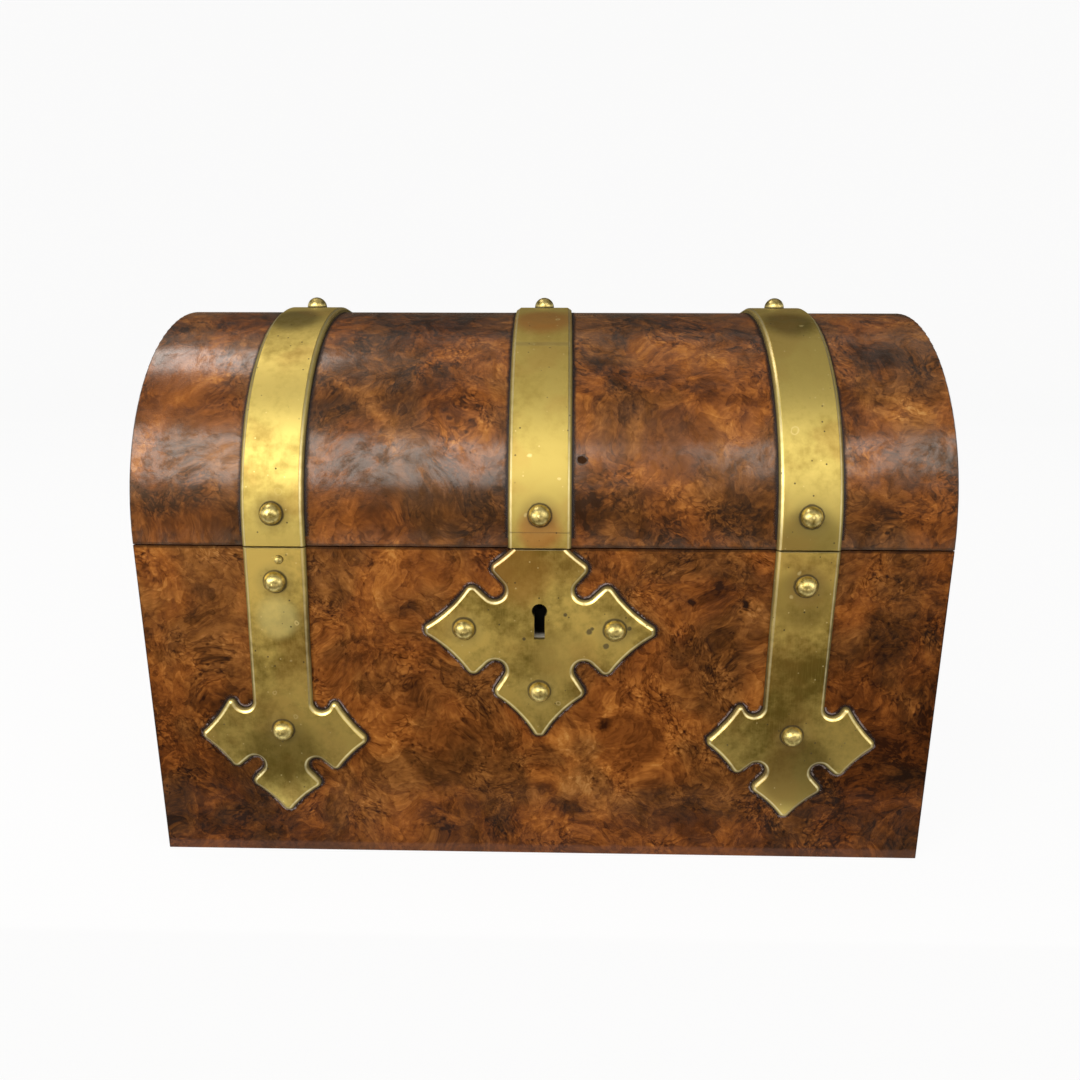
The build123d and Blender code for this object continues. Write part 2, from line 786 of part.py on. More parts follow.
def lid_strap(x):
    """A flat bar with bevelled edges, bent over the dome from the seam to low on the back."""
    half = strap_w / 2
    inner = strap_r
    outer = strap_r + strap_t
    points = [
        (x - half, -inner),
        (x + half, -inner),
        (x + half, -outer + bevel_d),
        (x + half - bevel_w, -outer),
        (x - half + bevel_w, -outer),
        (x - half, -outer + bevel_d),
    ]
    rim = Plane(origin=(0, 0, dome_z), x_dir=(1, 0, 0), z_dir=(0, 0, 1))
    section = rim * make_face(Polyline(*points, close=True))
    axis = Axis((0, 0, dome_z), (-1, 0, 0))
    strap = revolve(section, axis, 180)
    strap = chamfer(strap.edges().filter_by(Axis.X).sort_by(Axis.Y)[0], seam_ease)
    behind = block(ends(half, x), (0, depth), (dome_z, dome_z + strap_back_rise))
    return less(strap - behind, lid_stud_holes)


def lid_dome_lining():
    """Silk glued under the staves, from just above the rim at the front to the back."""
    first = degrees(lining_gap / inner_r)
    x = ends(wall_x - silk, 0)
    return dome_slice(inner_r - silk, inner_r - bed_gap, x, first, 180 - first)


def lid_end_lining(side):
    x = sorted((side * (wall_x - silk), side * wall_x))
    return half_disc(inner_r - silk, x) - block(x, ends(depth, 0), (dome_z, dome_z + lining_gap))


parts = {
    "base_board": base_board(),
    "front_board": front_board(),
    "back_board": back_board(),
    "left_end_board": end_board(-1),
    "right_end_board": end_board(1),
    "front_veneer": front_veneer(),
    "back_veneer": back_veneer(),
    "left_end_veneer": end_veneer(-1),
    "right_end_veneer": end_veneer(1),
    "base_baize": base_baize(),
    "wall_lining": wall_lining(),
    "floor_lining": floor_lining(),
    "left_lower_strap": lower_strap(lower_straps[0]),
    "right_lower_strap": lower_strap(lower_straps[1]),
    "escutcheon_plate": escutcheon_plate(),
    "lower_strap_studs": studs(lower_studs),
    "escutcheon_studs": studs(plate_studs),
    "strap_pin": studs(pin_places, pin_head_r, pin_shank_r),
    "lock_plate": lock_plate(),
    "lock_case": lock_case(),
    "lock_drill_pin": lock_drill_pin(),
    "lock_guide_pins": lock_guide_pins(),
    "lock_spring": lock_spring(),
    "lock_bolt": lock_bolt(),
    "lock_screws": [screw(*place) for place in lock_screws],
    "lock_link_plate": lock_link_plate(),
    "link_plate_screws": [screw(*place) for place in link_screws],
    "left_hinge_case_leaf": hinge_leaf(-1, rim_height, -1, 0),
    "right_hinge_case_leaf": hinge_leaf(1, rim_height, -1, 0),
    "left_hinge_lid_leaf": hinge_leaf(-1, dome_z, 1, 1),
    "right_hinge_lid_leaf": hinge_leaf(1, dome_z, 1, 1),
    "hinge_pins": hinge_pins(),
    "hinge_case_screws": [screw(*place) for place in hinge_case_screws],
    "hinge_lid_screws": [screw(*place) for place in hinge_lid_screws],
    "left_rack_cheek": rack_cheek(-1),
    "right_rack_cheek": rack_cheek(1),
    "front_divider": divider(0),
    "middle_divider": divider(1),
    "back_divider": divider(2),
    "lid_left_end_board": lid_end_board(-1),
    "lid_right_end_board": lid_end_board(1),
    "lid_front_rail": lid_stave(0),
    "lid_back_rail": lid_stave(stave_count - 1),
    "lid_dome_veneer": lid_dome_veneer(),
    "lid_left_end_veneer": lid_end_veneer(-1),
    "lid_right_end_veneer": lid_end_veneer(1),
    "lid_left_strap": lid_strap(-strap_x),
    "lid_centre_strap": lid_strap(0),
    "lid_right_strap": lid_strap(strap_x),
    "lid_strap_studs": studs(lid_studs),
    "lid_dome_lining": lid_dome_lining(),
    "lid_left_end_lining": lid_end_lining(-1),
    "lid_right_end_lining": lid_end_lining(1),
}
for n in range(1, stave_count - 1):
    parts[f"lid_stave_{n}"] = lid_stave(n)

os.makedirs("parts", exist_ok=True)
for name, shape in parts.items():
    solids = shape if isinstance(shape, list) else [shape]
    export_step(Compound(children=[Compound(s.solids()) for s in solids]), f"parts/{name}.step")
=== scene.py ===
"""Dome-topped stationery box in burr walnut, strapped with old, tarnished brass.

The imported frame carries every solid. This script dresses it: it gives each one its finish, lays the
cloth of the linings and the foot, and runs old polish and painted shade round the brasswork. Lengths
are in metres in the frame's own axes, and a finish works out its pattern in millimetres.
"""

import logging
import math
from dataclasses import dataclass, field
from enum import Enum
from functools import cached_property
from typing import Callable, Iterable, Optional, Union

import bmesh
import bpy
from mathutils import Matrix, Vector, noise


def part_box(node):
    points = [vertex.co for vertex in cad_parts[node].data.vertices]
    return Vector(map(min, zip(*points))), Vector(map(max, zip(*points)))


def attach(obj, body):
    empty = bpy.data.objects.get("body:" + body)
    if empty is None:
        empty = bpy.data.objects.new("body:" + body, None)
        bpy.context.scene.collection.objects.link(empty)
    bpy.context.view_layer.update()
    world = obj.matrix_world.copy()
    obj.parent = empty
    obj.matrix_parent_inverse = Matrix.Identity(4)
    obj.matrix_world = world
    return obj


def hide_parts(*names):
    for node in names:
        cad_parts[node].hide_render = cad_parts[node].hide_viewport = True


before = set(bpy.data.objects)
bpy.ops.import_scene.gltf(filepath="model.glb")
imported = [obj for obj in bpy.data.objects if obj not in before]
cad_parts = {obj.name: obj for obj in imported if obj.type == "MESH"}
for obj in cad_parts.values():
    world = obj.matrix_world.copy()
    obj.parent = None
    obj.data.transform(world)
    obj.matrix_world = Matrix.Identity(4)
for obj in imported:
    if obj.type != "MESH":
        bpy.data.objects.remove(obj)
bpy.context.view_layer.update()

LOG = logging.getLogger("stationery_box")
MM = 0.001
PER_METRE = 1000.0
MERGE = 0.001 * MM
SIDES = ("left", "right")
COLOUR_MIX = {"data_type": "RGBA", "clamp_factor": True}

Colour = tuple[float, float, float]
Level = Union["Signal", float]
Paint = Union["Signal", str]


def paint(code: str) -> Colour:
    """A colour as light, from its display code.

    Args:
        code: Six hexadecimal digits, two each for red, green and blue.

    Returns:
        Linear red, green and blue from 0 to 1.
    """
    parts = [int(code[n:n + 2], 16) / 255 for n in (0, 2, 4)]
    return tuple(v / 12.92 if v <= 0.04045 else ((v + 0.055) / 1.055) ** 2.4 for v in parts)


@dataclass(frozen=True)
class Signal:
    """A socket whose value varies over a surface, with arithmetic that adds its nodes."""

    shader: "Shader"
    socket: bpy.types.NodeSocket

    def __add__(self, other: Level) -> "Signal":
        """The sum."""
        return self.shader.math("ADD", self, other)

    def __sub__(self, other: Level) -> "Signal":
        """The difference."""
        return self.shader.math("SUBTRACT", self, other)

    def __rsub__(self, other: Level) -> "Signal":
        """The difference from a number."""
        return self.shader.math("SUBTRACT", other, self)

    def __mul__(self, other: Level) -> "Signal":
        """The product."""
        return self.shader.math("MULTIPLY", self, other)

    __radd__ = __add__
    __rmul__ = __mul__

    def __abs__(self) -> "Signal":
        """The value without its sign."""
        return self.shader.math("ABSOLUTE", self)

    def at_least(self, other: Level) -> "Signal":
        """The larger of two values."""
        return self.shader.math("MAXIMUM", self, other)

    def wave(self, turns: float) -> "Signal":
        """A sine of the value, from -1 to 1, that repeats so many times per unit."""
        return self.shader.math("SINE", self * (math.tau * turns))

    def saw(self, teeth: float) -> "Signal":
        """The part after the decimal point of the value times a number."""
        return self.shader.math("FRACT", self * teeth)

    def rise(self, low: float, high: float) -> "Signal":
        """A smooth step.

        Args:
            low: The value at which the step begins, at 0.
            high: The value at which it ends, at 1. Below low, the step falls.

        Returns:
            The step, from 0 to 1.
        """
        span = {"Value": self, "From Min": low, "From Max": high}
        return self.shader.node("MapRange", {"interpolation_type": "SMOOTHSTEP"}, span)


class Shader:
    """A material under construction: one principled surface fed by expressions."""

    def __init__(self, name: str) -> None:
        """Start an empty material.

        Args:
            name: The material's name.
        """
        self.material = bpy.data.materials.new(name)
        self.material.use_nodes = True
        self.tree = self.material.node_tree
        self.tree.nodes.clear()
        self.output = self.tree.nodes.new("ShaderNodeOutputMaterial")

    def node(
        self,
        kind: str,
        settings: Optional[dict] = None,
        inputs: Optional[dict] = None,
        out: Union[int, str] = 0,
    ) -> Signal:
        """Add one node.

        Args:
            kind: The node's type without its ShaderNode prefix.
            settings: Attributes of the node. A ramp's stops are pairs of place and colour code.
            inputs: Values or signals by the socket's name or number.
            out: The output to read.

        Returns:
            The chosen output.
        """
        made = self.tree.nodes.new("ShaderNode" + kind)
        for name, value in (settings or {}).items():
            if name == "stops":
                self.set_stops(made.color_ramp, value)
            else:
                setattr(made, name, value)
        for name, value in (inputs or {}).items():
            if isinstance(value, Signal):
                self.tree.links.new(value.socket, made.inputs[name])
            else:
                made.inputs[name].default_value = value
        return Signal(self, made.outputs[out])

    @staticmethod
    def set_stops(ramp: bpy.types.ColorRamp, stops: Iterable[tuple[float, str]]) -> None:
        """Fill a colour ramp.

        Args:
            ramp: The ramp, with its two first stops.
            stops: Pairs of place and colour code, in order.
        """
        for n, (place, code) in enumerate(stops):
            stop = ramp.elements[n] if n < 2 else ramp.elements.new(place)
            stop.position = place
            stop.color = (*paint(code), 1.0)

    def math(self, operation: str, *values: Level) -> Signal:
        """One Math node on some values."""
        return self.node("Math", {"operation": operation}, dict(enumerate(values)))

    def vector(self, operation: str, *values: Union[Signal, tuple], out: int = 0) -> Signal:
        """One Vector Math node on some vectors."""
        return self.node("VectorMath", {"operation": operation}, dict(enumerate(values)), out)

    def place(self, stretch: Colour = (1, 1, 1)) -> Signal:
        """The point on the surface, in millimetres, each axis times a factor."""
        point = self.node("TexCoord", out="Object")
        return self.vector("MULTIPLY", point, tuple(PER_METRE * factor for factor in stretch))

    @cached_property
    def at(self) -> Signal:
        """The point on the surface, in millimetres."""
        return self.place()

    def parts(self, vector: Signal) -> tuple[Signal, Signal, Signal]:
        """The three numbers of a vector."""
        split = self.node("SeparateXYZ", inputs={0: vector}).socket.node
        return tuple(Signal(self, split.outputs[n]) for n in range(3))

    def join(self, x: Level, y: Level, z: Level) -> Signal:
        """A vector from three numbers."""
        return self.node("CombineXYZ", inputs={0: x, 1: y, 2: z})

    def off_axis(self, y: Level, z: Level) -> Signal:
        """How far a point is from an axis along X, from its Y and Z."""
        return self.vector("LENGTH", self.join(0.0, y, z), out=1)

    def mottle(
        self, at: Signal, size: float, detail: float = 2.0, rough: float = 0.5, out: int = 0
    ) -> Signal:
        """Smooth noise.

        Args:
            at: The point, in millimetres.
            size: The width of the largest features, in millimetres.
            detail: How many finer layers it has.
            rough: How strong the finer layers are.
            out: 0 for a number, 1 for three of them as a colour.

        Returns:
            The noise, about 0.5 on average.
        """
        inputs = {"Vector": at, "Scale": 1 / size, "Detail": detail, "Roughness": rough}
        return self.node("TexNoise", inputs=inputs, out=out)

    def drift(self, at: Signal, size: float, amount: float) -> Signal:
        """A point pushed along each axis by noise, by half an amount in millimetres on average."""
        push = self.mottle(at, size, out=1)
        return self.vector("MULTIPLY_ADD", push, (amount,) * 3, at)

    def scattered(self, at: Signal, size: float) -> tuple[Signal, Signal, Signal]:
        """Points strewn at random.

        Args:
            at: The point on the surface, in millimetres.
            size: How far apart they are, in millimetres.

        Returns:
            The distance to the nearest in millimetres, and two random numbers of its own.
        """
        cells = self.node("TexVoronoi", inputs={"Vector": at, "Scale": 1 / size}).socket.node
        first, second, _ = self.parts(Signal(self, cells.outputs["Color"]))
        return Signal(self, cells.outputs["Distance"]) * size, first, second

    def distance(self, at: Signal, point: Colour) -> Signal:
        """How far a point on the surface is from a fixed one."""
        return self.vector("DISTANCE", at, point, out=1)

    def spot(self, centre: Colour, radius: float, ragged: Signal, fray: float) -> Signal:
        """A soft round spot.

        Args:
            centre: Its centre, in millimetres.
            radius: Its radius, in millimetres.
            ragged: Noise from 0 to 1 that frays its edge.
            fray: How far the edge wanders, as a share of the radius.

        Returns:
            1 inside the spot, falling to 0 at its edge.
        """
        away = self.distance(self.at, centre) + (ragged - 0.5) * (radius * fray)
        return away.rise(radius, radius * 0.5)

    def mix(self, factor: Level, first: Paint, second: Paint) -> Signal:
        """A blend of two colours, each a signal or a code, the second at factor 1."""
        ends = [v if isinstance(v, Signal) else (*paint(v), 1.0) for v in (first, second)]
        return self.node("Mix", COLOUR_MIX, {0: factor, 6: ends[0], 7: ends[1]}, out=2)

    def ramp(self, value: Level, stops: Iterable[tuple[float, str]]) -> Signal:
        """A colour looked up on a ramp."""
        return self.node("ValToRGB", {"stops": stops}, {0: value})

    def bump(
        self, height: Signal, strength: float, depth_mm: float, over: Optional[Signal] = None
    ) -> Signal:
        """A normal from a height.

        Args:
            height: Height from 0 to 1.
            strength: How much of it shows.
            depth_mm: What a height of 1 stands for, in millimetres.
            over: A normal that this one adds to.

        Returns:
            The normal.
        """
        inputs = {"Strength": strength, "Distance": depth_mm * MM, "Height": height}
        if over is not None:
            inputs["Normal"] = over
        return self.node("Bump", inputs=inputs)

    def surface(self, **inputs: Union[Level, Colour]) -> bpy.types.Material:
        """Close the material with a principled surface.

        Args:
            inputs: Socket values, with underlines for the spaces in their names.

        Returns:
            The material.
        """
        named = {}
        for name, value in inputs.items():
            socket = name.replace("_", " ").title().replace("Ior", "IOR")
            named[socket] = (*value, 1.0) if isinstance(value, tuple) else value
        closed = self.node("BsdfPrincipled", inputs=named)
        self.tree.links.new(closed.socket, self.output.inputs["Surface"])
        return self.material


class Finish:
    """What a surface is finished with. Its material is made once, when first asked for."""

    name: str

    def build(self) -> bpy.types.Material:
        """Make the material."""
        raise NotImplementedError

    def material(self) -> bpy.types.Material:
        """The material, from the file if it is there already."""
        return bpy.data.materials.get(self.name) or self.build()


@dataclass(frozen=True)
class Keyhole:
    """Where painted shade blackens wood and metal behind the keyhole's plate, and the slot's dusty
    foot is painted pale as if lit, in millimetres.
    """

    x: float = 0.0
    z: float = 78.0
    reach: float = 8.0
    mouth_y: tuple[float, float] = (-40.0, -42.0)
    lit_dust_z: tuple[float, float] = (74.4, 73.0)
    lit_dust_y: tuple[float, float] = (-55.5, -59.5)

    def painted_shade_and_lit_dust(self, s: Shader, colour: Signal) -> Signal:
        """Paint shade black into a colour round the keyhole, and paint the slot's lit, dusty foot
        pale.

        Args:
            s: The shader.
            colour: The colour to change.

        Returns:
            The changed colour.
        """
        _, y, z = s.parts(s.at)
        away = s.distance(s.vector("MULTIPLY", s.at, (1.0, 0.0, 1.0)), (self.x, 0.0, self.z))
        # Painted shade: black inside the keyhole, where light hardly reaches.
        near = away.rise(self.reach, self.reach * 0.8) * y.rise(*self.mouth_y)
        crumbs = (y + s.mottle(s.at, 1.2) * 2).rise(*self.lit_dust_y)
        # Painted light over real crumbs: the slot's upward-facing foot, lit from above, painted pale.
        lit_dust = near * z.rise(*self.lit_dust_z) * crumbs
        return s.mix(lit_dust * 0.9, s.mix(near, colour, "030202"), "d4d0c4")


KEYHOLE = Keyhole()


@dataclass(frozen=True)
class Patch:
    """A place where the veneer's tone is made darker, fairer or plainer: some places are its figure,
    some painted light and shade.
    """

    centre: Colour
    radius: float
    tone: float
    edge: float = 0.9
    calm: float = 0.0
    rim: float = 0.0
    wobble: float = 0.9
    rim_w: float = 3.0
    widest_wave: float = 9.0
    calm_tone: float = 0.36

    def laid_on(self, s: Shader, tone: Signal) -> Signal:
        """The veneer's tone with the place in it.

        Args:
            s: The shader.
            tone: The tone of the figure.

        Returns:
            The changed tone.
        """
        size = self.radius
        push = size * self.wobble
        waved = s.drift(s.at, min(size, self.widest_wave), push)
        away = s.distance(waved, tuple(c + push / 2 for c in self.centre))
        inside = away.rise(size, size * (1 - self.edge))
        if self.calm:
            tone = tone + inside * self.calm * (self.calm_tone - tone)
        if self.rim:
            tone = tone + away.rise(size + self.rim_w, size) * (1 - inside) * self.rim
        return tone + inside * self.tone


@dataclass(frozen=True)
class BurrWalnut(Finish):
    """Burr walnut veneer under old french polish."""

    name: str
    shift: Colour = (0.0, 0.0, 0.0)
    fair: tuple[str, ...] = ("291307", "582f11", "7f491d", "a2672d", "c8934e")
    deep: tuple[str, ...] = ("1e1008", "452810", "69401c", "8a5a2b", "aa7c46")
    stops: tuple[float, ...] = (0.08, 0.3, 0.5, 0.7, 0.94)
    tone: float = 0.0
    clouding: float = 0.17
    polish: float = 0.5
    patches: tuple[Patch, ...] = ()
    rim_z: float = 98.0
    half_length: float = 115.0
    half_depth: float = 62.0
    foot_band: float = 4.0

    def build(self) -> bpy.types.Material:
        """Make the material.

        Returns:
            Soft whorls, a few sharp fronts, curled lines, clustered eyes, knots and flecks, with
            painted light and shade from some patches and at the edges.
        """
        s = Shader(self.name)
        figure = s.vector("ADD", s.at, self.shift)
        swept = s.drift(figure, 32, 26)
        curled = s.drift(s.drift(swept, 9, 5), 3.5, 1.7)
        cluster = s.mottle(figure, 15, 1).rise(0.49, 0.64)
        eyes, _, _ = s.scattered(s.drift(figure, 4, 2.6), 3.4)
        eye = eyes.rise(0.7, 0.2) * cluster
        halo = (eyes.rise(1.5, 0.9) - eyes.rise(1.0, 0.5)) * cluster
        specks, _, _ = s.scattered(s.drift(figure, 2, 1.6), 1.5)
        speck = specks.rise(0.51, 0.21) * s.mottle(figure, 9, 1).rise(0.6, 0.7)
        tone = self.whorls(s, figure, swept) + self.curls(s, curled, cluster)
        tone = tone - eye * 0.22 + halo * 0.1 - speck * 0.2 + self.tone
        for patch in self.patches:
            tone = patch.laid_on(s, tone)
        hue = s.mottle(s.vector("ADD", swept, (90.0, 50.0, 70.0)), 24).rise(0.4, 0.6)
        woods = [s.ramp(tone, zip(self.stops, codes)) for codes in (self.deep, self.fair)]
        # Painted shade at the arrises, the seam and the keyhole, and painted light on the slot's
        # foot.
        colour = KEYHOLE.painted_shade_and_lit_dust(s, self.edge_shade_and_foot_band(s, s.mix(hue, *woods)))
        sunk = tone.rise(-0.3, -0.7)
        pores = s.mottle(figure, 0.4, 2, 0.6)
        ripple = s.bump(s.mottle(s.at, 5), 0.4, 0.1)
        glaze = s.mottle(curled, 5, 5, 0.72).rise(0.36, 0.6) * 0.75 + 0.25 - speck * 0.2
        return s.surface(
            base_color=colour,
            roughness=0.24 + pores * 0.16 + cluster * 0.05 + sunk * 0.4,
            normal=s.bump(pores.rise(0.3, 0.6) - speck * 0.8, 0.4, 0.05, ripple),
            specular_ior_level=self.polish * 0.36,
            specular_tint=paint("ffc890"),
            coat_weight=glaze * (1 - sunk) * self.polish,
            coat_roughness=0.18,
        )

    def whorls(self, s: Shader, figure: Signal, swept: Signal) -> Signal:
        """The broad tone: clouds, dark ovals with faint rings, and fronts sharp on one side.

        Args:
            s: The shader.
            figure: The point in the veneer's own figure.
            swept: The same point, swept about.

        Returns:
            The tone.
        """
        clouds = s.mottle(swept, 22, 4, 0.6).rise(0.3, 0.7)
        ovals, pick, depth = s.scattered(s.drift(figure, 14, 11), 15)
        rings = ovals.wave(0.55) * 0.5 + 0.5
        oval = ovals.rise(7.8, 4.5) * pick.rise(0.5, 0.56) * (depth * 0.6 + 0.4)
        saw = s.mottle(swept, 26, 1).saw(4.5)
        front = saw * saw.rise(1.0, 0.95) * s.mottle(figure, 40, 1).rise(0.42, 0.6)
        turned = s.drift(swept, 7, 5)
        flame = s.mottle(turned, 11).saw(4)
        fold = s.mottle(s.drift(turned, 4, 3), 5.5).saw(3)
        contour = s.mottle(s.drift(figure, 12, 9), 11, 1).wave(10)
        tone = clouds * self.clouding + front * 0.13 + contour * 0.03
        tone = tone + flame * flame.rise(1.0, 0.95) * 0.15 + fold * fold.rise(1.0, 0.94) * 0.12
        return tone - oval * (0.12 + rings * 0.06)

    @staticmethod
    def curls(s: Shader, curled: Signal, cluster: Signal) -> Signal:
        """The fine tone: mottling, dark curled lines, flecks in short strokes.

        Args:
            s: The shader.
            curled: The point, curled about.
            cluster: Where the burr is tight, from 0 to 1.

        Returns:
            The tone.
        """
        mottle = s.mottle(curled, 3.8, 5, 0.68)
        ridge = 1 - abs(s.mottle(curled, 4.2, 2, 0.6) - 0.5) * 2
        line = ridge.rise(0.9, 0.99) * (cluster * 0.7 + 0.3)
        tight = s.mottle(curled, 3.4).wave(4) * (cluster * 0.8 + 0.2)
        strokes = s.vector("MULTIPLY", curled, (0.6, 1.0, 1.0))
        flecks = s.mottle(strokes, 0.7, 2, 0.7)
        return mottle * 0.55 - line * 0.19 + tight * 0.08 + flecks * 0.26 + 0.02

    def edge_shade_and_foot_band(self, s: Shader, colour: Signal) -> Signal:
        """Painted shade along the arrises and the seam, and a paler band at the foot.

        Args:
            s: The shader.
            colour: The veneer's colour.

        Returns:
            The colour with painted shade at its arrises and seam, and the paler foot band.
        """
        x, y, z = s.parts(s.at)
        wander = s.mottle(s.at, 2.5, 3) * 0.9 - 0.45
        ends = self.half_length - abs(x)
        sides = self.half_depth - s.off_axis(y, (z - self.rim_z).at_least(0))
        corner = ends.at_least(sides) + wander
        seam = abs(z - (self.rim_z + 0.2)) + wander * 0.6
        # Painted shade: darker towards the corners of the box and along the seam under the lid.
        dark = corner.rise(0.7, 0.1).at_least(seam.rise(1.1, 0.5) * 0.85)
        foot = (z + wander * 1.5).rise(self.foot_band, self.foot_band * 0.7)
        return s.mix(dark * 0.8, s.mix(foot * 0.35, colour, "6b4a3c"), "1a0d08")


class Grain(Enum):
    """Which way the grain of a plain board runs."""

    LENGTH = (0.04, 1.0, 1.0)
    DEPTH = (1.0, 0.04, 1.0)
    HEIGHT = (1.0, 1.0, 0.04)


@dataclass(frozen=True)
class PlainWood(Finish):
    """A straight-grained board, planed and oiled or polished."""

    name: str
    grain: Grain
    light: str
    dark: str
    polish: float = 0.2

    def build(self) -> bpy.types.Material:
        """Make the material.

        Returns:
            Long wavy grain with pores and slow changes of tone.
        """
        s = Shader(self.name)
        wavy = s.drift(s.place(self.grain.value), 22, 5)
        bands = s.mottle(wavy, 6, 3, 0.6).wave(3) * 0.5 + 0.5
        pores = s.mottle(wavy, 0.5, 3, 0.7)
        tone = bands * 0.35 + pores * 0.5 + s.mottle(s.at, 40) * 0.35 - 0.1
        return s.surface(
            # Painted shade round the keyhole, and painted light on the slot's foot.
            base_color=KEYHOLE.painted_shade_and_lit_dust(s, s.mix(tone, self.dark, self.light)),
            roughness=0.62 - self.polish + pores * 0.15,
            normal=s.bump(pores, 0.3, 0.08),
            coat_weight=self.polish,
            coat_roughness=0.25,
        )


class Bend(Enum):
    """The shape that a brass face follows."""

    FLAT = "flat"
    DOME = "dome"


@dataclass(frozen=True)
class AgedBrass(Finish):
    """Cast and filed brass with tarnish, pits, small ring marks, rubbed bevels with a painted
    highlight, painted glints and tinted spots, some of them painted reflection.
    """

    name: str
    bend: Bend
    clean: str = "d3b35c"
    tarnish: str = "6b5524"
    wear: float = 0.0
    rough: float = 0.34
    studs: tuple[Colour, ...] = ()
    stud_r: float = 3.1
    dome_z: float = 98.4
    face_out: float = 63.62
    bevel_d: float = 0.8
    tints: tuple[tuple[Colour, float, str], ...] = ()
    marks: tuple[tuple[Colour, float], ...] = ()
    scores: tuple[tuple[float, float], ...] = ()
    in_lock: bool = False

    def frame_of(self, s: Shader) -> tuple[Signal, Signal, Signal]:
        """Where a point is on the bent or flat plate.

        Args:
            s: The shader.

        Returns:
            Across the plate, along it and out from the wood.
        """
        x, y, z = s.parts(s.at)
        if self.bend is Bend.FLAT:
            return x, z, y * -1.0
        rise = z - self.dome_z
        return x, s.math("ARCTAN2", rise, y * -1.0) * self.face_out, s.off_axis(y, rise)

    def build(self) -> bpy.types.Material:
        """Make the material.

        Returns:
            Brass whose colour, roughness and relief vary together.
        """
        s = Shader(self.name)
        across, along, out = self.frame_of(s)
        clouds = s.mottle(s.drift(s.at, 14, 10), 24, 4)
        mottle = s.mottle(s.at, 2.6, 3, 0.6)
        brush = s.mottle(s.join(across * 4.0, along * 0.12, 0.0), 1.0, 3, 0.6)
        stain = (clouds * 0.8 + mottle * 0.3 - 0.05).rise(0.38 + self.wear, 0.68 + self.wear)
        pits, pit_pick, _ = s.scattered(s.at, 2.8)
        pit = pits.rise(0.36, 0.16) * pit_pick.rise(0.5, 0.54) * clouds.rise(0.3, 0.5)
        grains, grain_pick, _ = s.scattered(s.at, 2.2)
        painted_glint = grains.rise(0.32, 0.14) * grain_pick.rise(0.72, 0.76)
        ring = self.rings(s)
        colour = s.mix(stain, self.clean, self.tarnish)
        colour = s.mix(brush.rise(0.45, 0.8) * 0.2, colour, self.clean)
        # Tinted spots of patina, and on the straps spots of painted reflection.
        for centre, radius, tint in self.tints:
            colour = s.mix(s.spot(centre, radius, clouds, 0.6) * 0.6, colour, tint)
        rosy = s.drift(s.vector("ADD", s.at, (70.0, 30.0, 50.0)), 9, 8)
        colour = s.mix(s.mottle(rosy, 17).rise(0.5, 0.66) * 0.22, colour, "b08446")
        # Small ring marks, and pale specks that are painted glints.
        colour = s.mix((ring * 0.7).at_least(painted_glint * 0.6), colour, "e8d898")
        depth = self.face_out - out
        bevel_rub_and_highlight = depth.rise(0.04, 0.18) * depth.rise(0.55, 0.3)
        # Rubbed bevels, with a painted highlight in pale cream.
        colour = s.mix(bevel_rub_and_highlight * (0.8 - mottle * 0.7), colour, "e8e0b4")
        # The lower part of the bevels and the edge wall: dark soiling and painted shade.
        wall = depth.rise(self.bevel_d * 0.45, self.bevel_d * 0.85)
        dirt_and_shade = self.grime_and_painted_shade(s, along, mottle, pit.at_least(wall * 0.8))
        colour = s.mix(dirt_and_shade * 0.85, colour, "2a1f0d")
        relief = mottle * 0.5 + ring * 0.2 - pit * 0.8
        dents = s.bump(s.mottle(s.at, 7), 0.4, 0.1)
        return s.surface(
            # For the lock's parts: painted shade behind the keyhole, and painted light on the slot's
            # foot.
            base_color=KEYHOLE.painted_shade_and_lit_dust(s, colour) if self.in_lock else colour,
            metallic=1 - dirt_and_shade * 0.7,
            roughness=self.rough + stain * 0.1 + mottle * 0.08 + dirt_and_shade * 0.25 - bevel_rub_and_highlight * 0.08,
            normal=s.bump(brush, 0.12, 0.02, s.bump(relief, 0.25, 0.05, dents)),
        )

    def grime_and_painted_shade(self, s: Shader, along: Signal, mottle: Signal, dirt_and_shade: Signal) -> Signal:
        """Soiling and painted shade round the feet of the studs, soiling in the scores across the
        plate and on its dark marks.

        Args:
            s: The shader.
            along: The place along the plate, in millimetres.
            mottle: Noise that frays the edges.
            dirt_and_shade: The soiling and painted shade that are there already.

        Returns:
            All the soiling and painted shade, from 0 to 1.
        """
        # A dark ring at each stud's foot: soiling and painted shade.
        for centre in self.studs:
            away = s.distance(s.at, centre) + mottle * 0.8 - 0.4
            dirt_and_shade = dirt_and_shade.at_least(away.rise(self.stud_r + 0.8, self.stud_r + 0.15))
            dirt_and_shade = dirt_and_shade.at_least(away.rise(self.stud_r + 4.0, self.stud_r) * 0.3)
        for place, width in self.scores:
            line = abs(along - place + mottle * 0.4 - 0.2)
            dirt_and_shade = dirt_and_shade.at_least(line.rise(width, width * 0.3) * 0.5)
        for centre, radius in self.marks:
            dirt_and_shade = dirt_and_shade.at_least(s.spot(centre, radius, mottle, 1.0))
        return dirt_and_shade

    @staticmethod
    def rings(s: Shader) -> Signal:
        """Small ring marks, left by bubbles in the casting.

        Args:
            s: The shader.

        Returns:
            1 on a ring's line.
        """
        moved = s.drift(s.vector("ADD", s.at, (31.0, 17.0, 9.0)), 2.5, 1.2)
        away, pick, size = s.scattered(moved, 7.5)
        reach = away + size * 0.5
        return (reach.rise(1.3, 1.0) - reach.rise(1.0, 0.7)) * pick.rise(0.54, 0.6)


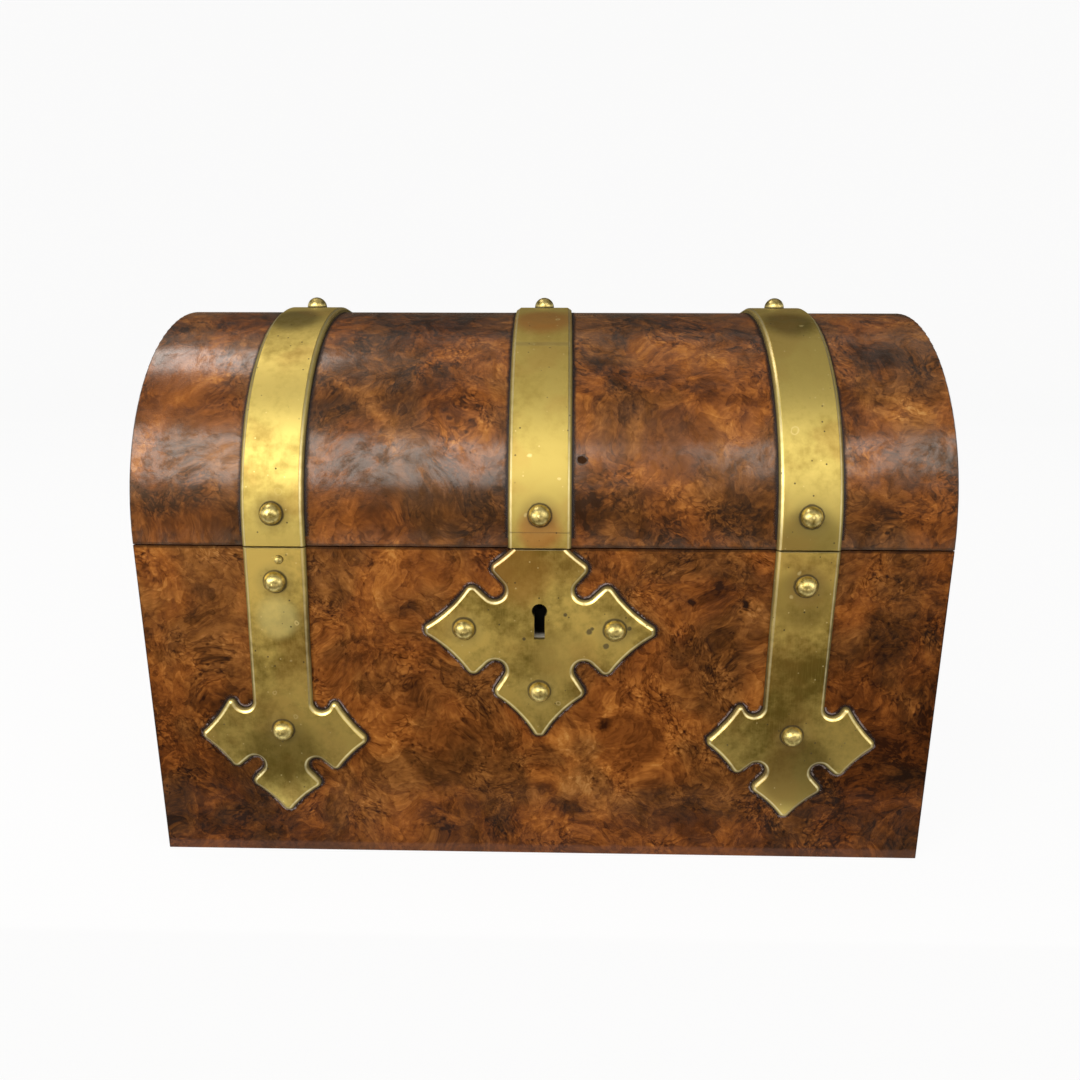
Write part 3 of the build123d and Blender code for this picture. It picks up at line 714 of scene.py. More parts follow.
@dataclass(frozen=True)
class TurnedBrass(Finish):
    """Brass of studs, screws and pins, with painted shade and old polish where a head meets its seat.
    """

    name: str
    clean: str = "e0ce86"
    tarnish: str = "8d7d42"
    seat: Optional[float] = None
    dome_z: Optional[float] = None

    def build(self) -> bpy.types.Material:
        """Make the material.

        Returns:
            Bright brass, tarnished and dirty in patches, with old polish and painted shade round the
            foot of each head.
        """
        s = Shader(self.name)
        _, y, z = s.parts(s.at)
        mottle = s.mottle(s.at, 1.6, 3, 0.6)
        dirt_and_shade = s.mottle(s.at, 3).rise(0.62, 0.75) * 0.3
        if self.seat is not None:
            out = y * -1.0 if self.dome_z is None else s.off_axis(y, z - self.dome_z)
            # Painted shade, with old polish, at the foot of the head.
            dirt_and_shade = dirt_and_shade.at_least((out - self.seat + mottle * 0.6 - 0.3).rise(0.75, 0.1))
        colour = s.mix(mottle.rise(0.35, 0.7), self.clean, self.tarnish)
        return s.surface(
            base_color=s.mix(dirt_and_shade * 0.85, colour, "2a1f0d"),
            metallic=1 - dirt_and_shade * 0.6,
            roughness=0.3 + mottle * 0.16 + dirt_and_shade * 0.3,
            normal=s.bump(s.mottle(s.at, 1.9), 0.5, 0.12),
        )


@dataclass(frozen=True)
class BluedSteel(Finish):
    """Spring steel, blued by heat and rubbed along its edges."""

    name: str = "blued_steel"
    tints: tuple[tuple[float, str], ...] = ((0.3, "23262f"), (0.55, "3c4557"), (0.75, "6a6f78"))

    def build(self) -> bpy.types.Material:
        """Make the material.

        Returns:
            Dark blue steel that pales in patches.
        """
        s = Shader(self.name)
        tint = s.mottle(s.at, 4, 3)
        return s.surface(
            # Painted shade behind the keyhole.
            base_color=KEYHOLE.painted_shade_and_lit_dust(s, s.ramp(tint, self.tints)),
            metallic=1.0,
            roughness=0.3 + tint * 0.2,
            normal=s.bump(s.mottle(s.place((1, 4, 1)), 0.4), 0.2, 0.03),
        )


@dataclass(frozen=True)
class WateredPaper(Finish):
    """Deep red lining paper with a faint watered figure and rubbed places."""

    name: str = "watered_paper"

    def build(self) -> bpy.types.Material:
        """Make the material.

        Returns:
            Matt red paper whose watered bands are a little glossier.
        """
        s = Shader(self.name)
        watered = s.mottle(s.drift(s.place((1, 1, 0.35)), 16, 12), 7, 3).wave(6) * 0.5 + 0.5
        fibres = s.mottle(s.drift(s.at, 1.5, 2), 0.5, 3, 0.7)
        rubbed = s.mottle(s.at, 30, 4, 0.6).rise(0.56, 0.74)
        colour = s.mix(rubbed * 0.4, s.mix(watered * 0.6, "54202a", "743440"), "8a5a50")
        return s.surface(
            base_color=s.mix(fibres.rise(0.55, 0.8) * 0.25, colour, "a0747a"),
            roughness=0.72 - watered * 0.14,
            normal=s.bump(fibres, 0.3, 0.05),
        )


@dataclass(frozen=True)
class WateredSilk(Finish):
    """Deep red silk with a fine rib and a watered figure, read on the sheet's own map."""

    name: str
    size: tuple[float, float]

    def build(self) -> bpy.types.Material:
        """Make the material.

        Returns:
            Ribbed silk with moving bands of sheen.
        """
        s = Shader(self.name)
        flat = s.vector("MULTIPLY", s.node("TexCoord", out="UV"), (*self.size, 0.0))
        u, v, _ = s.parts(s.drift(flat, 9, 0.35))
        bent = s.drift(s.vector("MULTIPLY", flat, (1.0, 0.22, 1.0)), 12, 9)
        moire = s.mottle(bent, 5, 3).wave(7) * 0.5 + 0.5
        soft = s.mottle(flat, 30, 3).rise(0.35, 0.7)
        thread = v.wave(2.2) * 0.35 + u.wave(3.5) * 0.15 + 0.5
        return s.surface(
            base_color=s.mix(soft * 0.3, s.mix(moire * 0.8, "521724", "9a4858"), "6f2c36"),
            roughness=0.52 - moire * 0.22,
            normal=s.bump(thread, 0.5, 0.08),
            sheen_weight=0.3,
            sheen_roughness=0.35,
        )


@dataclass(frozen=True)
class WoolBaize(Finish):
    """Felted green wool with a short nap."""

    name: str = "wool_baize"

    def build(self) -> bpy.types.Material:
        """Make the material.

        Returns:
            Matt green cloth, paler where it is worn.
        """
        s = Shader(self.name)
        nap = s.mottle(s.drift(s.at, 0.8, 0.8), 0.35, 3, 0.7)
        worn = s.mottle(s.at, 24, 4, 0.6).rise(0.5, 0.75)
        return s.surface(
            base_color=s.mix(worn * 0.35, s.mix(nap, "12301c", "2f5c3a"), "55684a"),
            roughness=0.95,
            normal=s.bump(nap, 0.8, 0.25),
            specular_ior_level=0.15,
            sheen_weight=0.5,
            sheen_roughness=0.5,
        )


@dataclass(frozen=True)
class OldPolishAndShade(Finish):
    """Dark wax and polish gathered beside the brass, with painted shade at its foot, fading out
    across its strip.
    """

    name: str = "old_polish_and_shade"
    crust_top: tuple[float, float] = (97.0, 95.0)

    def build(self) -> bpy.types.Material:
        """Make the material.

        Returns:
            A dark ragged film of polish and painted shade with pale crusts, which the strip's map
            fades out.
        """
        s = Shader(self.name)
        _, reach, _ = s.parts(s.node("TexCoord", out="UV"))
        _, _, z = s.parts(s.at)
        ragged = s.mottle(s.at, 1.1, 3, 0.6) * 0.5 + s.mottle(s.at, 9) * 0.5 - 0.5
        cover = (reach + ragged * 0.9).rise(0.72, 0.1)
        crumbs = s.mottle(s.at, 0.8) * 0.4 + s.mottle(s.at, 6, 1) * 0.6
        crust = crumbs.rise(0.5, 0.56) * reach.rise(0.16, 0.28) * reach.rise(0.56, 0.4)
        # Dark brown: old polish, and painted shade at the foot of the brass.
        colour = s.mix(s.mottle(s.at, 2), "120905", "2b160b")
        colour = s.mix(crust * z.rise(*self.crust_top) * 0.6, colour, "b0a09c")
        return s.surface(base_color=colour, roughness=0.55, alpha=cover * 0.94)


@dataclass(frozen=True)
class StudioWhite(Finish):
    """Pale floor and backdrop that keep the object's shadow."""

    name: str = "studio_white"
    albedo: float = 0.85
    glow: float = 0.94

    def build(self) -> bpy.types.Material:
        """Make the material.

        Returns:
            Matt white that camera, mirror and glass rays see lifted towards white.
        """
        s = Shader(self.name)
        rays = s.node("LightPath", out="Is Camera Ray").socket.node
        seen = Signal(s, rays.outputs["Is Camera Ray"])
        for name in ("Is Glossy Ray", "Is Transmission Ray"):
            seen = seen.at_least(Signal(s, rays.outputs[name]))
        matt = s.node("BsdfDiffuse", inputs={"Color": (self.albedo,) * 3 + (1.0,)})
        white = s.node("Emission", inputs={"Color": (1.0, 1.0, 1.0, 1.0), "Strength": 1.0})
        both = s.node("MixShader", inputs={0: seen * self.glow, 1: matt, 2: white})
        s.tree.links.new(both.socket, s.output.inputs["Surface"])
        return s.material


@dataclass(frozen=True)
class FlagCloth(Finish):
    """Matt cloth of the studio, dyed dark but for a pale band."""

    name: str = "flag_cloth"
    near_edge: tuple[float, float] = (-110.0, -330.0)
    far_edge: tuple[float, float] = (-780.0, -560.0)

    def build(self) -> bpy.types.Material:
        """Make the material.

        Returns:
            Cloth whose tone follows its place in front of the box.
        """
        s = Shader(self.name)
        _, y, _ = s.parts(s.at)
        tone = y.rise(*self.near_edge) * y.rise(*self.far_edge) + s.mottle(s.at, 2.0, 3) * 0.1
        return s.surface(base_color=s.mix(tone, "4c4338", "eee5d6"), roughness=0.9)


def dress(names: Iterable[str], finish: Finish) -> None:
    """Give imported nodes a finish.

    Args:
        names: The nodes.
        finish: Their finish.
    """
    for name in names:
        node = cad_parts[name]
        material = finish.material()
        if not node.material_slots:
            node.data.materials.append(material)
        for slot in node.material_slots:
            slot.material = material
        LOG.info("%s: %s", name, finish.name)


def placed(name: str, data: bpy.types.ID) -> bpy.types.Object:
    """Put a mesh, lamp or camera in the scene.

    Args:
        name: The object's name.
        data: Its data.

    Returns:
        The new object.
    """
    made = bpy.data.objects.new(name, data)
    bpy.context.scene.collection.objects.link(made)
    return made


def stand(mesh: bmesh.types.BMesh, name: str, finish: Finish) -> bpy.types.Object:
    """Put a smooth mesh with a finish in the scene.

    Args:
        mesh: The mesh, in place. It is freed.
        name: The object's name.
        finish: Its finish.

    Returns:
        The new object.
    """
    data = bpy.data.meshes.new(name)
    mesh.to_mesh(data)
    mesh.free()
    data.shade_smooth()
    data.materials.append(finish.material())
    return placed(name, data)


def publish(
    mesh: bmesh.types.BMesh,
    name: str,
    body: str,
    finish: Finish,
    replaces: Iterable[str] = (),
) -> bpy.types.Object:
    """Turn a finished mesh into a piece of the object.

    Args:
        mesh: The mesh, in place. It is freed.
        name: The piece's name.
        body: The body that it rides on.
        finish: Its finish.
        replaces: Nodes that it stands for.

    Returns:
        The new object.
    """
    piece = stand(mesh, name, finish)
    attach(piece, body)
    if replaces:
        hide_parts(*replaces)
    LOG.info("%s: new, on %s, %d faces", name, body, len(piece.data.polygons))
    return piece


def in_mm(point: Vector) -> Colour:
    """A point in millimetres, as a tuple."""
    return tuple(round(v * PER_METRE, 3) for v in point)


def islands(items: Iterable, near: Callable[..., Iterable]) -> list[list]:
    """Sort the parts of a mesh into linked groups.

    Args:
        items: The vertices or edges to sort.
        near: The neighbours of one of them.

    Returns:
        One list for each group.
    """
    left = dict.fromkeys(items)
    groups = []
    while left:
        group = [left.popitem()[0]]
        for item in group:
            fresh = [other for other in dict.fromkeys(near(item)) if other in left]
            for other in fresh:
                del left[other]
            group += fresh
        groups.append(group)
    return groups


def merged(name: str) -> bmesh.types.BMesh:
    """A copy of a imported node's mesh with its doubles merged.

    Args:
        name: The node.

    Returns:
        The copy, for the caller to free.
    """
    mesh = bmesh.new()
    mesh.from_mesh(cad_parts[name].data)
    bmesh.ops.remove_doubles(mesh, verts=mesh.verts, dist=MERGE)
    return mesh


def loose_parts(name: str) -> list[list[Vector]]:
    """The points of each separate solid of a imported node.

    Args:
        name: The node.

    Returns:
        One list of points for each solid.
    """
    mesh = merged(name)
    solids = islands(mesh.verts, lambda vert: [edge.other_vert(vert) for edge in vert.link_edges])
    points = [[vert.co.copy() for vert in solid] for solid in solids]
    mesh.free()
    return points


@dataclass
class Shape:
    """The box's main sizes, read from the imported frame."""

    half_length: float = field(default_factory=lambda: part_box("front_veneer")[1].x)
    front_y: float = field(default_factory=lambda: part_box("front_veneer")[0].y)
    rim_z: float = field(default_factory=lambda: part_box("front_veneer")[1].z)
    dome_z: float = field(default_factory=lambda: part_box("lid_dome_veneer")[0].z)

    @property
    def dome_r(self) -> float:
        """The radius of the dome, over its veneer."""
        return -self.front_y

    def away(self, point: Vector) -> Vector:
        """The direction out of the dome at a point."""
        return Vector((0.0, point.y, point.z - self.dome_z)).normalized()


@dataclass
class Woodwork:
    """The carcass boards, the staves, the veneers over them and the paper rack."""

    shape: Shape
    front_figure_and_painted_light: tuple[Patch, ...] = (
        Patch((43.0, -62.0, 82.5), 1.7, -0.5),
        Patch((50.5, -62.0, 87.5), 2.2, -0.35),
        Patch((58.5, -62.0, 82.0), 1.8, -0.45),
        Patch((53.0, -62.0, 85.0), 9.0, -0.12),
        Patch((19.3, -62.0, 44.1), 3.4, -0.4),
        Patch((27.0, -62.0, 39.0), 12.0, -0.05, 0.4, 0.3, 0.07, 0.7),
        Patch((46.9, -62.0, 14.0), 10.0, -0.18, 0.6, 0.4),
        Patch((-11.0, -62.0, 12.0), 9.0, -0.14, 0.8, 0.3),
        Patch((-29.0, -62.0, 34.0), 13.0, -0.04, 0.3, 0.3, 0.08, 0.6),
        Patch((5.5, -62.0, 37.3), 7.0, 0.22),
        Patch((16.0, -62.0, 22.0), 16.0, 0.14),
        Patch((-36.0, -62.0, 56.0), 12.0, 0.16),
        # Painted light: fairer towards the top and the upper left.
        Patch((-104.0, -62.0, 90.0), 46.0, 0.12, 0.7, wobble=0.3),
        Patch((0.0, -62.0, 120.0), 90.0, 0.05),
        # Painted shade: darker towards the right end.
        Patch((112.0, -62.0, 64.0), 36.0, -0.12, 0.7, wobble=0.3),
        Patch((-45.0, -62.0, 62.0), 26.0, -0.08, 0.8, wobble=0.4),
        # Painted shade: darker towards the bottom and its corners.
        Patch((112.0, -62.0, 2.0), 76.0, -0.22, 0.7, wobble=0.3),
        Patch((-110.0, -62.0, 0.0), 64.0, -0.2, 0.7, wobble=0.3),
        Patch((0.0, -62.0, -40.0), 84.0, -0.12, 0.6),
    )
    lid_figure_and_painted_shade: tuple[Patch, ...] = (
        Patch((-76.0, -58.0, 114.0), 37.0, -0.05, 0.08, 0.1, 0.16, 0.12),
        Patch((-39.5, -61.3, 107.0), 14.0, -0.03, 0.14, 0.25, 0.09, 0.45),
        Patch((11.6, -57.2, 122.3), 1.9, -1.4, 0.5, wobble=0.8),
        Patch((-28.0, -50.0, 134.0), 8.0, -0.16),
        Patch((-14.0, -34.0, 150.0), 10.0, 0.16),
        Patch((100.7, -47.6, 138.1), 16.0, 0.2),
        Patch((13.0, -61.0, 108.0), 9.0, -0.3, 0.6),
        Patch((38.0, -55.0, 127.0), 13.0, -0.06, 0.3, 0.4, 0.06, 0.4),
        Patch((-58.0, -61.6, 105.0), 15.0, 0.08),
        Patch((-104.0, -48.0, 137.0), 18.0, 0.04, 0.6, 0.4),
        Patch((50.0, -36.0, 148.0), 16.0, 0.08),
        # Painted shade: the crown of the dome darker.
        Patch((-38.0, -6.0, 160.0), 38.0, -0.2, 0.6, wobble=0.25),
        Patch((45.0, -4.0, 160.0), 34.0, -0.08, 0.6, wobble=0.25),
        Patch((-103.0, -57.0, 118.0), 14.0, -0.12, 0.7),
    )

    def build(self) -> None:
        """Dress every wooden node."""
        half_length = self.shape.half_length * PER_METRE
        sizes = {"rim_z": self.shape.rim_z * PER_METRE, "half_length": half_length}
        case = {"polish": 0.16, "tone": -0.19, **sizes}
        lid = {"polish": 0.9, "tone": -0.33, "clouding": 0.32, **sizes}
        dress(["front_veneer"], BurrWalnut("burr_front", patches=self.front_figure_and_painted_light, **case))
        dress(["back_veneer"], BurrWalnut("burr_back", (310.0, 40.0, 90.0), **case))
        ends = BurrWalnut("burr_ends", (140.0, 20.0, 0.0), **case)
        dress([f"{side}_end_veneer" for side in SIDES], ends)
        dome = BurrWalnut("burr_lid", (60.0, 210.0, 30.0), patches=self.lid_figure_and_painted_shade, **lid)
        dress(["lid_dome_veneer"], dome)
        lid_ends = BurrWalnut("burr_lid_ends", (220.0, 90.0, 50.0), **case)
        dress([f"lid_{side}_end_veneer" for side in SIDES], lid_ends)
        self.dress_boards()

    def dress_boards(self) -> None:
        """Mahogany for the carcass, walnut for the rack."""
        long_way = ["base_board", "front_board", "back_board", "lid_front_rail", "lid_back_rail"]
        long_way += [f"lid_stave_{n}" for n in range(1, 6)]
        deep_way = [f"{part}{side}_end_board" for part in ("", "lid_") for side in SIDES]
        mahogany = {"light": "8a4f2c", "dark": "4a2415"}
        dress(long_way, PlainWood("mahogany_long", Grain.LENGTH, **mahogany))
        dress(deep_way, PlainWood("mahogany_deep", Grain.DEPTH, **mahogany))
        walnut = {"light": "7a4d2a", "dark": "3a1e10", "polish": 0.35}
        dividers = [f"{place}_divider" for place in ("front", "middle", "back")]
        dress(dividers, PlainWood("walnut_dividers", Grain.LENGTH, **walnut))
        cheeks = [f"{side}_rack_cheek" for side in SIDES]
        dress(cheeks, PlainWood("walnut_cheeks", Grain.HEIGHT, **walnut))


@dataclass
class Brasswork:
    """Straps, keyhole plate and studs, with the old polish and painted shade that lie beside them."""

    shape: Shape
    lid_straps: tuple[str, ...] = ("lid_left_strap", "lid_centre_strap", "lid_right_strap")
    front_plates: tuple[str, ...] = ("left_lower_strap", "right_lower_strap", "escutcheon_plate")
    strip_w: float = 2.0 * MM
    strip_tuck: float = 0.05 * MM
    strip_lift: float = 0.05 * MM
    bed_reach: float = 0.04 * MM
    seam_clear: float = 0.3 * MM
    outline_min: float = 50 * MM
    stud_r: float = 3.1 * MM
    seat_out: float = 1.64 * MM
    wall_lean: float = 0.5
    ageing_and_painted_reflections: dict[str, dict] = field(default_factory=lambda: {
        # Painted dark reflection at the strap's top.
        "lid_left_strap": {"tints": (((-77.0, -19.0, 157.5), 11.5, "342a10"),)},
        "lid_centre_strap": {
            "tints": (((0.0, -20.0, 157.0), 12.0, "b0703c"), ((0.0, -63.6, 103.0), 8.0, "b0703c")),
            "scores": ((4.6, 0.28), (64.5, 1.5)), "clean": "c2ae60", "rough": 0.5,
        },
        "lid_right_strap": {
            "tints": (
                # Painted dark reflection at the strap's top, and a darker olive round its foot.
                ((74.5, -21.0, 156.8), 11.5, "3e3414"), ((74.5, -63.0, 101.0), 11.0, "6f6232"),
            ),
        },
        "left_lower_strap": {
            "tints": (
                # Painted reflection: paler towards the top, darker towards the bottom.
                ((-74.5, -63.6, 77.0), 8.0, "e8dc90"), ((-76.0, -63.6, 34.0), 14.0, "6b5a26"),
            ),
        },
        "right_lower_strap": {
            # Painted reflection: darker, most of all towards the bottom.
            "tints": (((74.0, -63.6, 84.0), 12.0, "84733c"), ((76.0, -63.6, 30.0), 14.0, "5c4c20")),
        },
        "escutcheon_plate": {
            "tints": (((-8.0, -63.6, 93.0), 15.0, "a47c3c"), ((6.0, -63.6, 66.0), 11.0, "d0b868")),
            "marks": (
                ((14.2, -63.6, 74.0), 1.2), ((15.0, -63.6, 74.8), 0.8), ((19.0, -63.6, 69.6), 1.1),
                ((25.6, -63.6, 75.0), 0.9), ((7.3, -63.6, 79.0), 0.8), ((-4.4, -63.6, 71.6), 0.7),
            ),
        },
    })

    def build(self) -> None:
        """Dress the brass nodes and lay the strips of polish and painted shade."""
        front = {"bend": Bend.FLAT, "clean": "d6be6a", "tarnish": "716028"}
        lid = {"bend": Bend.DOME, "clean": "cdb968", "tarnish": "a28e48"}
        lid |= {"wear": 0.05, "rough": 0.44}
        for name in self.lid_straps:
            self.dress_plate(name, "lid_strap_studs", lid)
        for name in self.front_plates:
            own_studs = name == "escutcheon_plate"
            self.dress_plate(name, "escutcheon_studs" if own_studs else "lower_strap_studs", front)
        seat = (self.seat_out - self.shape.front_y) * PER_METRE
        small = ["lower_strap_studs", "escutcheon_studs", "strap_pin"]
        dress(small, TurnedBrass("stud_brass_front", seat=seat))
        dome_z = self.shape.dome_z * PER_METRE
        dress(["lid_strap_studs"], TurnedBrass("stud_brass_lid", seat=seat, dome_z=dome_z))
        for name in self.front_plates:
            self.lay_polish_and_shade(name, "case", lambda p: Vector((0.0, -1.0, 0.0)), self.on_front)
        for name in self.lid_straps:
            self.lay_polish_and_shade(name, "lid", self.shape.away, self.on_dome)

    def dress_plate(self, name: str, studs: str, brass: dict) -> None:
        """Dress one plate, with soiling and painted shade round the studs that hold it.

        Args:
            name: The plate's node.
            studs: The node of its studs, which may hold others too.
            brass: What its finish shares with that of its neighbours.
        """
        low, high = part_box(name)
        heads = [self.head(points) for points in loose_parts(studs)]
        own = tuple(in_mm(head) for head in heads if low.x < head.x < high.x)
        dress([name], AgedBrass(f"brass_{name}", studs=own, **(brass | self.ageing_and_painted_reflections[name])))

    def head(self, points: list[Vector]) -> Vector:
        """The middle of a stud's head, where it sits on the brass.

        Args:
            points: The stud's points.

        Returns:
            The centre of the widest ring of points.
        """
        middle = sum(points, Vector()) / len(points)
        far = max(points, key=lambda p: (p - middle).length)
        axis = (middle - far).normalized()
        return far + axis * (max((p - far).dot(axis) for p in points) - self.stud_r)

    def on_front(self, point: Vector) -> bool:
        """Whether a point lies on the bed of the front brasswork, clear of the seam."""
        bed = abs(point.y - self.shape.front_y) < self.bed_reach
        return bed and point.z < self.shape.rim_z - self.seam_clear

    def on_dome(self, point: Vector) -> bool:
        """Whether a point lies on the bed of a lid strap, clear of the seam.

        Args:
            point: The point.

        Returns:
            True on the bed.
        """
        arm = Vector((0.0, point.y, point.z - self.shape.dome_z))
        seam = point.y < 0 and arm.z < self.seam_clear
        return abs(arm.length - self.shape.dome_r) < self.bed_reach and not seam

    def lay_polish_and_shade(
        self,
        name: str,
        body: str,
        away: Callable[[Vector], Vector],
        on_bed: Callable[[Vector], bool],
    ) -> None:
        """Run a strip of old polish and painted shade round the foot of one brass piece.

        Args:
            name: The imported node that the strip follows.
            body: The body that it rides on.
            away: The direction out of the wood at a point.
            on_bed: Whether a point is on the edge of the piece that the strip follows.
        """
        source = merged(name)
        outward: dict[bmesh.types.BMVert, Vector] = {}
        feet = []
        for edge in source.edges:
            walls = [
                face.normal for face in edge.link_faces
                if abs(face.normal.dot(away(face.calc_center_median()))) < self.wall_lean
            ]
            if len(walls) == 1 and all(on_bed(vert.co) for vert in edge.verts):
                feet.append(edge)
                for vert in edge.verts:
                    outward[vert] = outward.get(vert, Vector()) + walls[0]
        strip = bmesh.new()
        copies: dict[bmesh.types.BMVert, bmesh.types.BMVert] = {}
        for edge in self.longest(feet):
            for vert in edge.verts:
                if vert not in copies:
                    copies[vert] = strip.verts.new(vert.co)
            strip.edges.new([copies[vert] for vert in edge.verts])
        ways = {copy: outward[vert].normalized() for vert, copy in copies.items()}
        bmesh.ops.extrude_edge_only(strip, edges=strip.edges[:])
        for edge in strip.edges:
            inner, outer = sorted(edge.verts, key=lambda vert: vert not in ways)
            if inner in ways and outer not in ways:
                outer.co = inner.co + ways[inner] * self.strip_w + away(inner.co) * self.strip_lift
        for vert, way in ways.items():
            vert.co += away(vert.co) * self.strip_lift - way * self.strip_tuck
        layer = strip.loops.layers.uv.new("reach")
        for face in strip.faces:
            face.normal_update()
            if face.normal.dot(away(face.calc_center_median())) < 0:
                face.normal_flip()
            for loop in face.loops:
                loop[layer].uv = (0.5, 0.0 if loop.vert in ways else 1.0)
        source.free()
        publish(strip, f"polish_and_shade_round_{name}", body, OldPolishAndShade())

    def longest(self, edges: list[bmesh.types.BMEdge]) -> list[bmesh.types.BMEdge]:
        """The edges that belong to long outlines, without those of small holes.

        Args:
            edges: All edges at the foot of a piece.

        Returns:
            The edges of connected chains longer than the least outline.
        """
        chains = islands(edges, lambda edge: [e for vert in edge.verts for e in vert.link_edges])
        long = [chain for chain in chains if sum(e.calc_length() for e in chain) > self.outline_min]
        return [edge for chain in long for edge in chain]


@dataclass
class Fittings:
    """The lock, the link plate and the hinges."""

    def build(self) -> None:
        """Dress every node of the lock and the hinges."""
        satin = {"bend": Bend.FLAT, "clean": "c4a559", "tarnish": "8d7236", "wear": 0.12}
        dress(["lock_plate", "lock_case"], AgedBrass("lock_works", in_lock=True, **satin))
        leaves = [f"{side}_hinge_{half}_leaf" for side in SIDES for half in ("case", "lid")]
        dress(["lock_link_plate", *leaves], AgedBrass("satin_brass", **satin))
        screws = ["lock_screws", "link_plate_screws", "hinge_case_screws", "hinge_lid_screws"]
        dress([*screws, "hinge_pins", "lock_guide_pins"], TurnedBrass("turned_brass"))
        dress(["lock_spring", "lock_bolt", "lock_drill_pin"], BluedSteel())


@dataclass
class Linings:
    """Paper in the case, silk in the lid and baize under the foot."""

    shape: Shape
    pucker: float = 0.16 * MM
    silk_gap: float = 0.2 * MM
    silk_t: float = 0.22 * MM
    end_gap: float = 0.3 * MM
    least_edge: float = 0.02 * MM
    nap: float = 0.08 * MM
    nap_waves: float = 900.0
    step: float = 1.6 * MM

    def build(self) -> None:
        """Dress the paper and lay the cloth."""
        dress(["wall_lining", "floor_lining"], WateredPaper())
        self.lay_baize()
        self.line_dome()
        self.line_end("left", -1)
        self.line_end("right", 1)

    def grid(self, width: float, length: float) -> bmesh.types.BMesh:
        """A flat sheet about the origin, finely divided, with a map from 0 to 1.

        Args:
            width: Its size on X.
            length: Its size on Y.

        Returns:
            The sheet.
        """
        mesh = bmesh.new()
        columns, rows = (max(2, round(size / self.step)) for size in (width, length))
        bmesh.ops.create_grid(mesh, x_segments=columns, y_segments=rows, size=0.5, calc_uvs=True)
        bmesh.ops.scale(mesh, vec=(width, length, 1.0), verts=mesh.verts)
        return mesh

    def puckered(self, across: float, along: float) -> float:
        """How far the silk stands off its backing at a place on the sheet.

        Args:
            across: The place on X, in metres.
            along: The place on Y, in metres.

        Returns:
            The distance in metres, either way.
        """
        ripple = noise.noise(Vector((across * 22, along * 160, 0.3)))
        slow = noise.noise(Vector((across * 35, along * 30, 4.1)))
        return self.pucker * (0.55 * ripple + 0.45 * slow)

    @staticmethod
    def thicken(piece: bpy.types.Object, thickness: float) -> None:
        """Give a sheet its thickness, on the side away from its face.

        Args:
            piece: The sheet.
            thickness: Its thickness.
        """
        solid = piece.modifiers.new("thickness", "SOLIDIFY")
        solid.thickness = thickness
        solid.offset = -1.0

    def glue_silk(
        self, mesh: bmesh.types.BMesh, finish: str, size: tuple[float, float], node: str, name: str
    ) -> bpy.types.Object:
        """Turn a shaped grid, its faces looking the right way, into silk on the lid.

        Args:
            mesh: The grid.
            finish: The name of its finish.
            size: Its flat size.
            node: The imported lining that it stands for.
            name: The piece's name.

        Returns:
            The silk.
        """
        silk = WateredSilk(finish, tuple(PER_METRE * length for length in size))
        piece = publish(mesh, name, "lid", silk, [node])
        self.thicken(piece, self.silk_t)
        return piece

    def line_dome(self) -> None:
        """Silk under the staves, from rim to rim."""
        node = "lid_dome_lining"
        low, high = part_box(node)
        radius = high.z - self.shape.dome_z - self.silk_gap - self.silk_t
        first = (low.z - self.shape.dome_z) / radius
        arc = radius * (math.pi - 2 * first)
        width = high.x - low.x
        mesh = self.grid(width, arc)
        for vert in mesh.verts:
            across, along = vert.co.x, vert.co.y
            angle = first + (along / arc + 0.5) * (math.pi - 2 * first)
            reach = radius - abs(self.puckered(across, along))
            up = self.shape.dome_z + reach * math.sin(angle)
            vert.co = (across, -reach * math.cos(angle), up)
        bmesh.ops.recalc_face_normals(mesh, faces=mesh.faces)
        self.face_towards(mesh, lambda p: -self.shape.away(p))
        piece = self.glue_silk(mesh, "silk_dome", (width, arc), node, "silk_under_dome")

    def line_end(self, label: str, side: int) -> None:
        """Silk on one end board of the lid.

        Args:
            label: Left or right.
            side: -1 for the left end, 1 for the right.
        """
        node = f"lid_{label}_end_lining"
        low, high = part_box(node)
        width, height = high.y - low.y, high.z - low.z
        foot = low.z - self.shape.dome_z
        radius = high.z - self.shape.dome_z - self.end_gap
        mesh = self.grid(width, height)
        for vert in mesh.verts:
            arm = Vector((vert.co.x, vert.co.y + height / 2 + foot))
            arm *= radius / max(radius, arm.length)
            vert.co.x, vert.co.y = arm.x, arm.y - foot
        bmesh.ops.dissolve_degenerate(mesh, edges=mesh.edges, dist=self.least_edge)
        face_x = (low.x if side > 0 else high.x) + side * (self.silk_t + self.least_edge)
        for vert in mesh.verts:
            across, up = vert.co.x, vert.co.y
            reach = face_x - side * 0.5 * abs(self.puckered(across, up))
            vert.co = (reach, across, low.z + up)
        bmesh.ops.recalc_face_normals(mesh, faces=mesh.faces)
        self.face_towards(mesh, lambda p: Vector((-side, 0.0, 0.0)))
        piece = self.glue_silk(mesh, "silk_ends", (width, height), node, f"silk_on_{label}_end")
        area = math.pi * radius**2 / 2

    @staticmethod
    def face_towards(mesh: bmesh.types.BMesh, way: Callable[[Vector], Vector]) -> None:
        """Turn a sheet's faces to look along a direction.

        Args:
            mesh: The sheet, its faces already agreeing with each other.
            way: The wanted direction at a point.
        """
        face = max(mesh.faces, key=lambda f: f.calc_area())
        if face.normal.dot(way(face.calc_center_median())) < 0:
            bmesh.ops.reverse_faces(mesh, faces=mesh.faces)

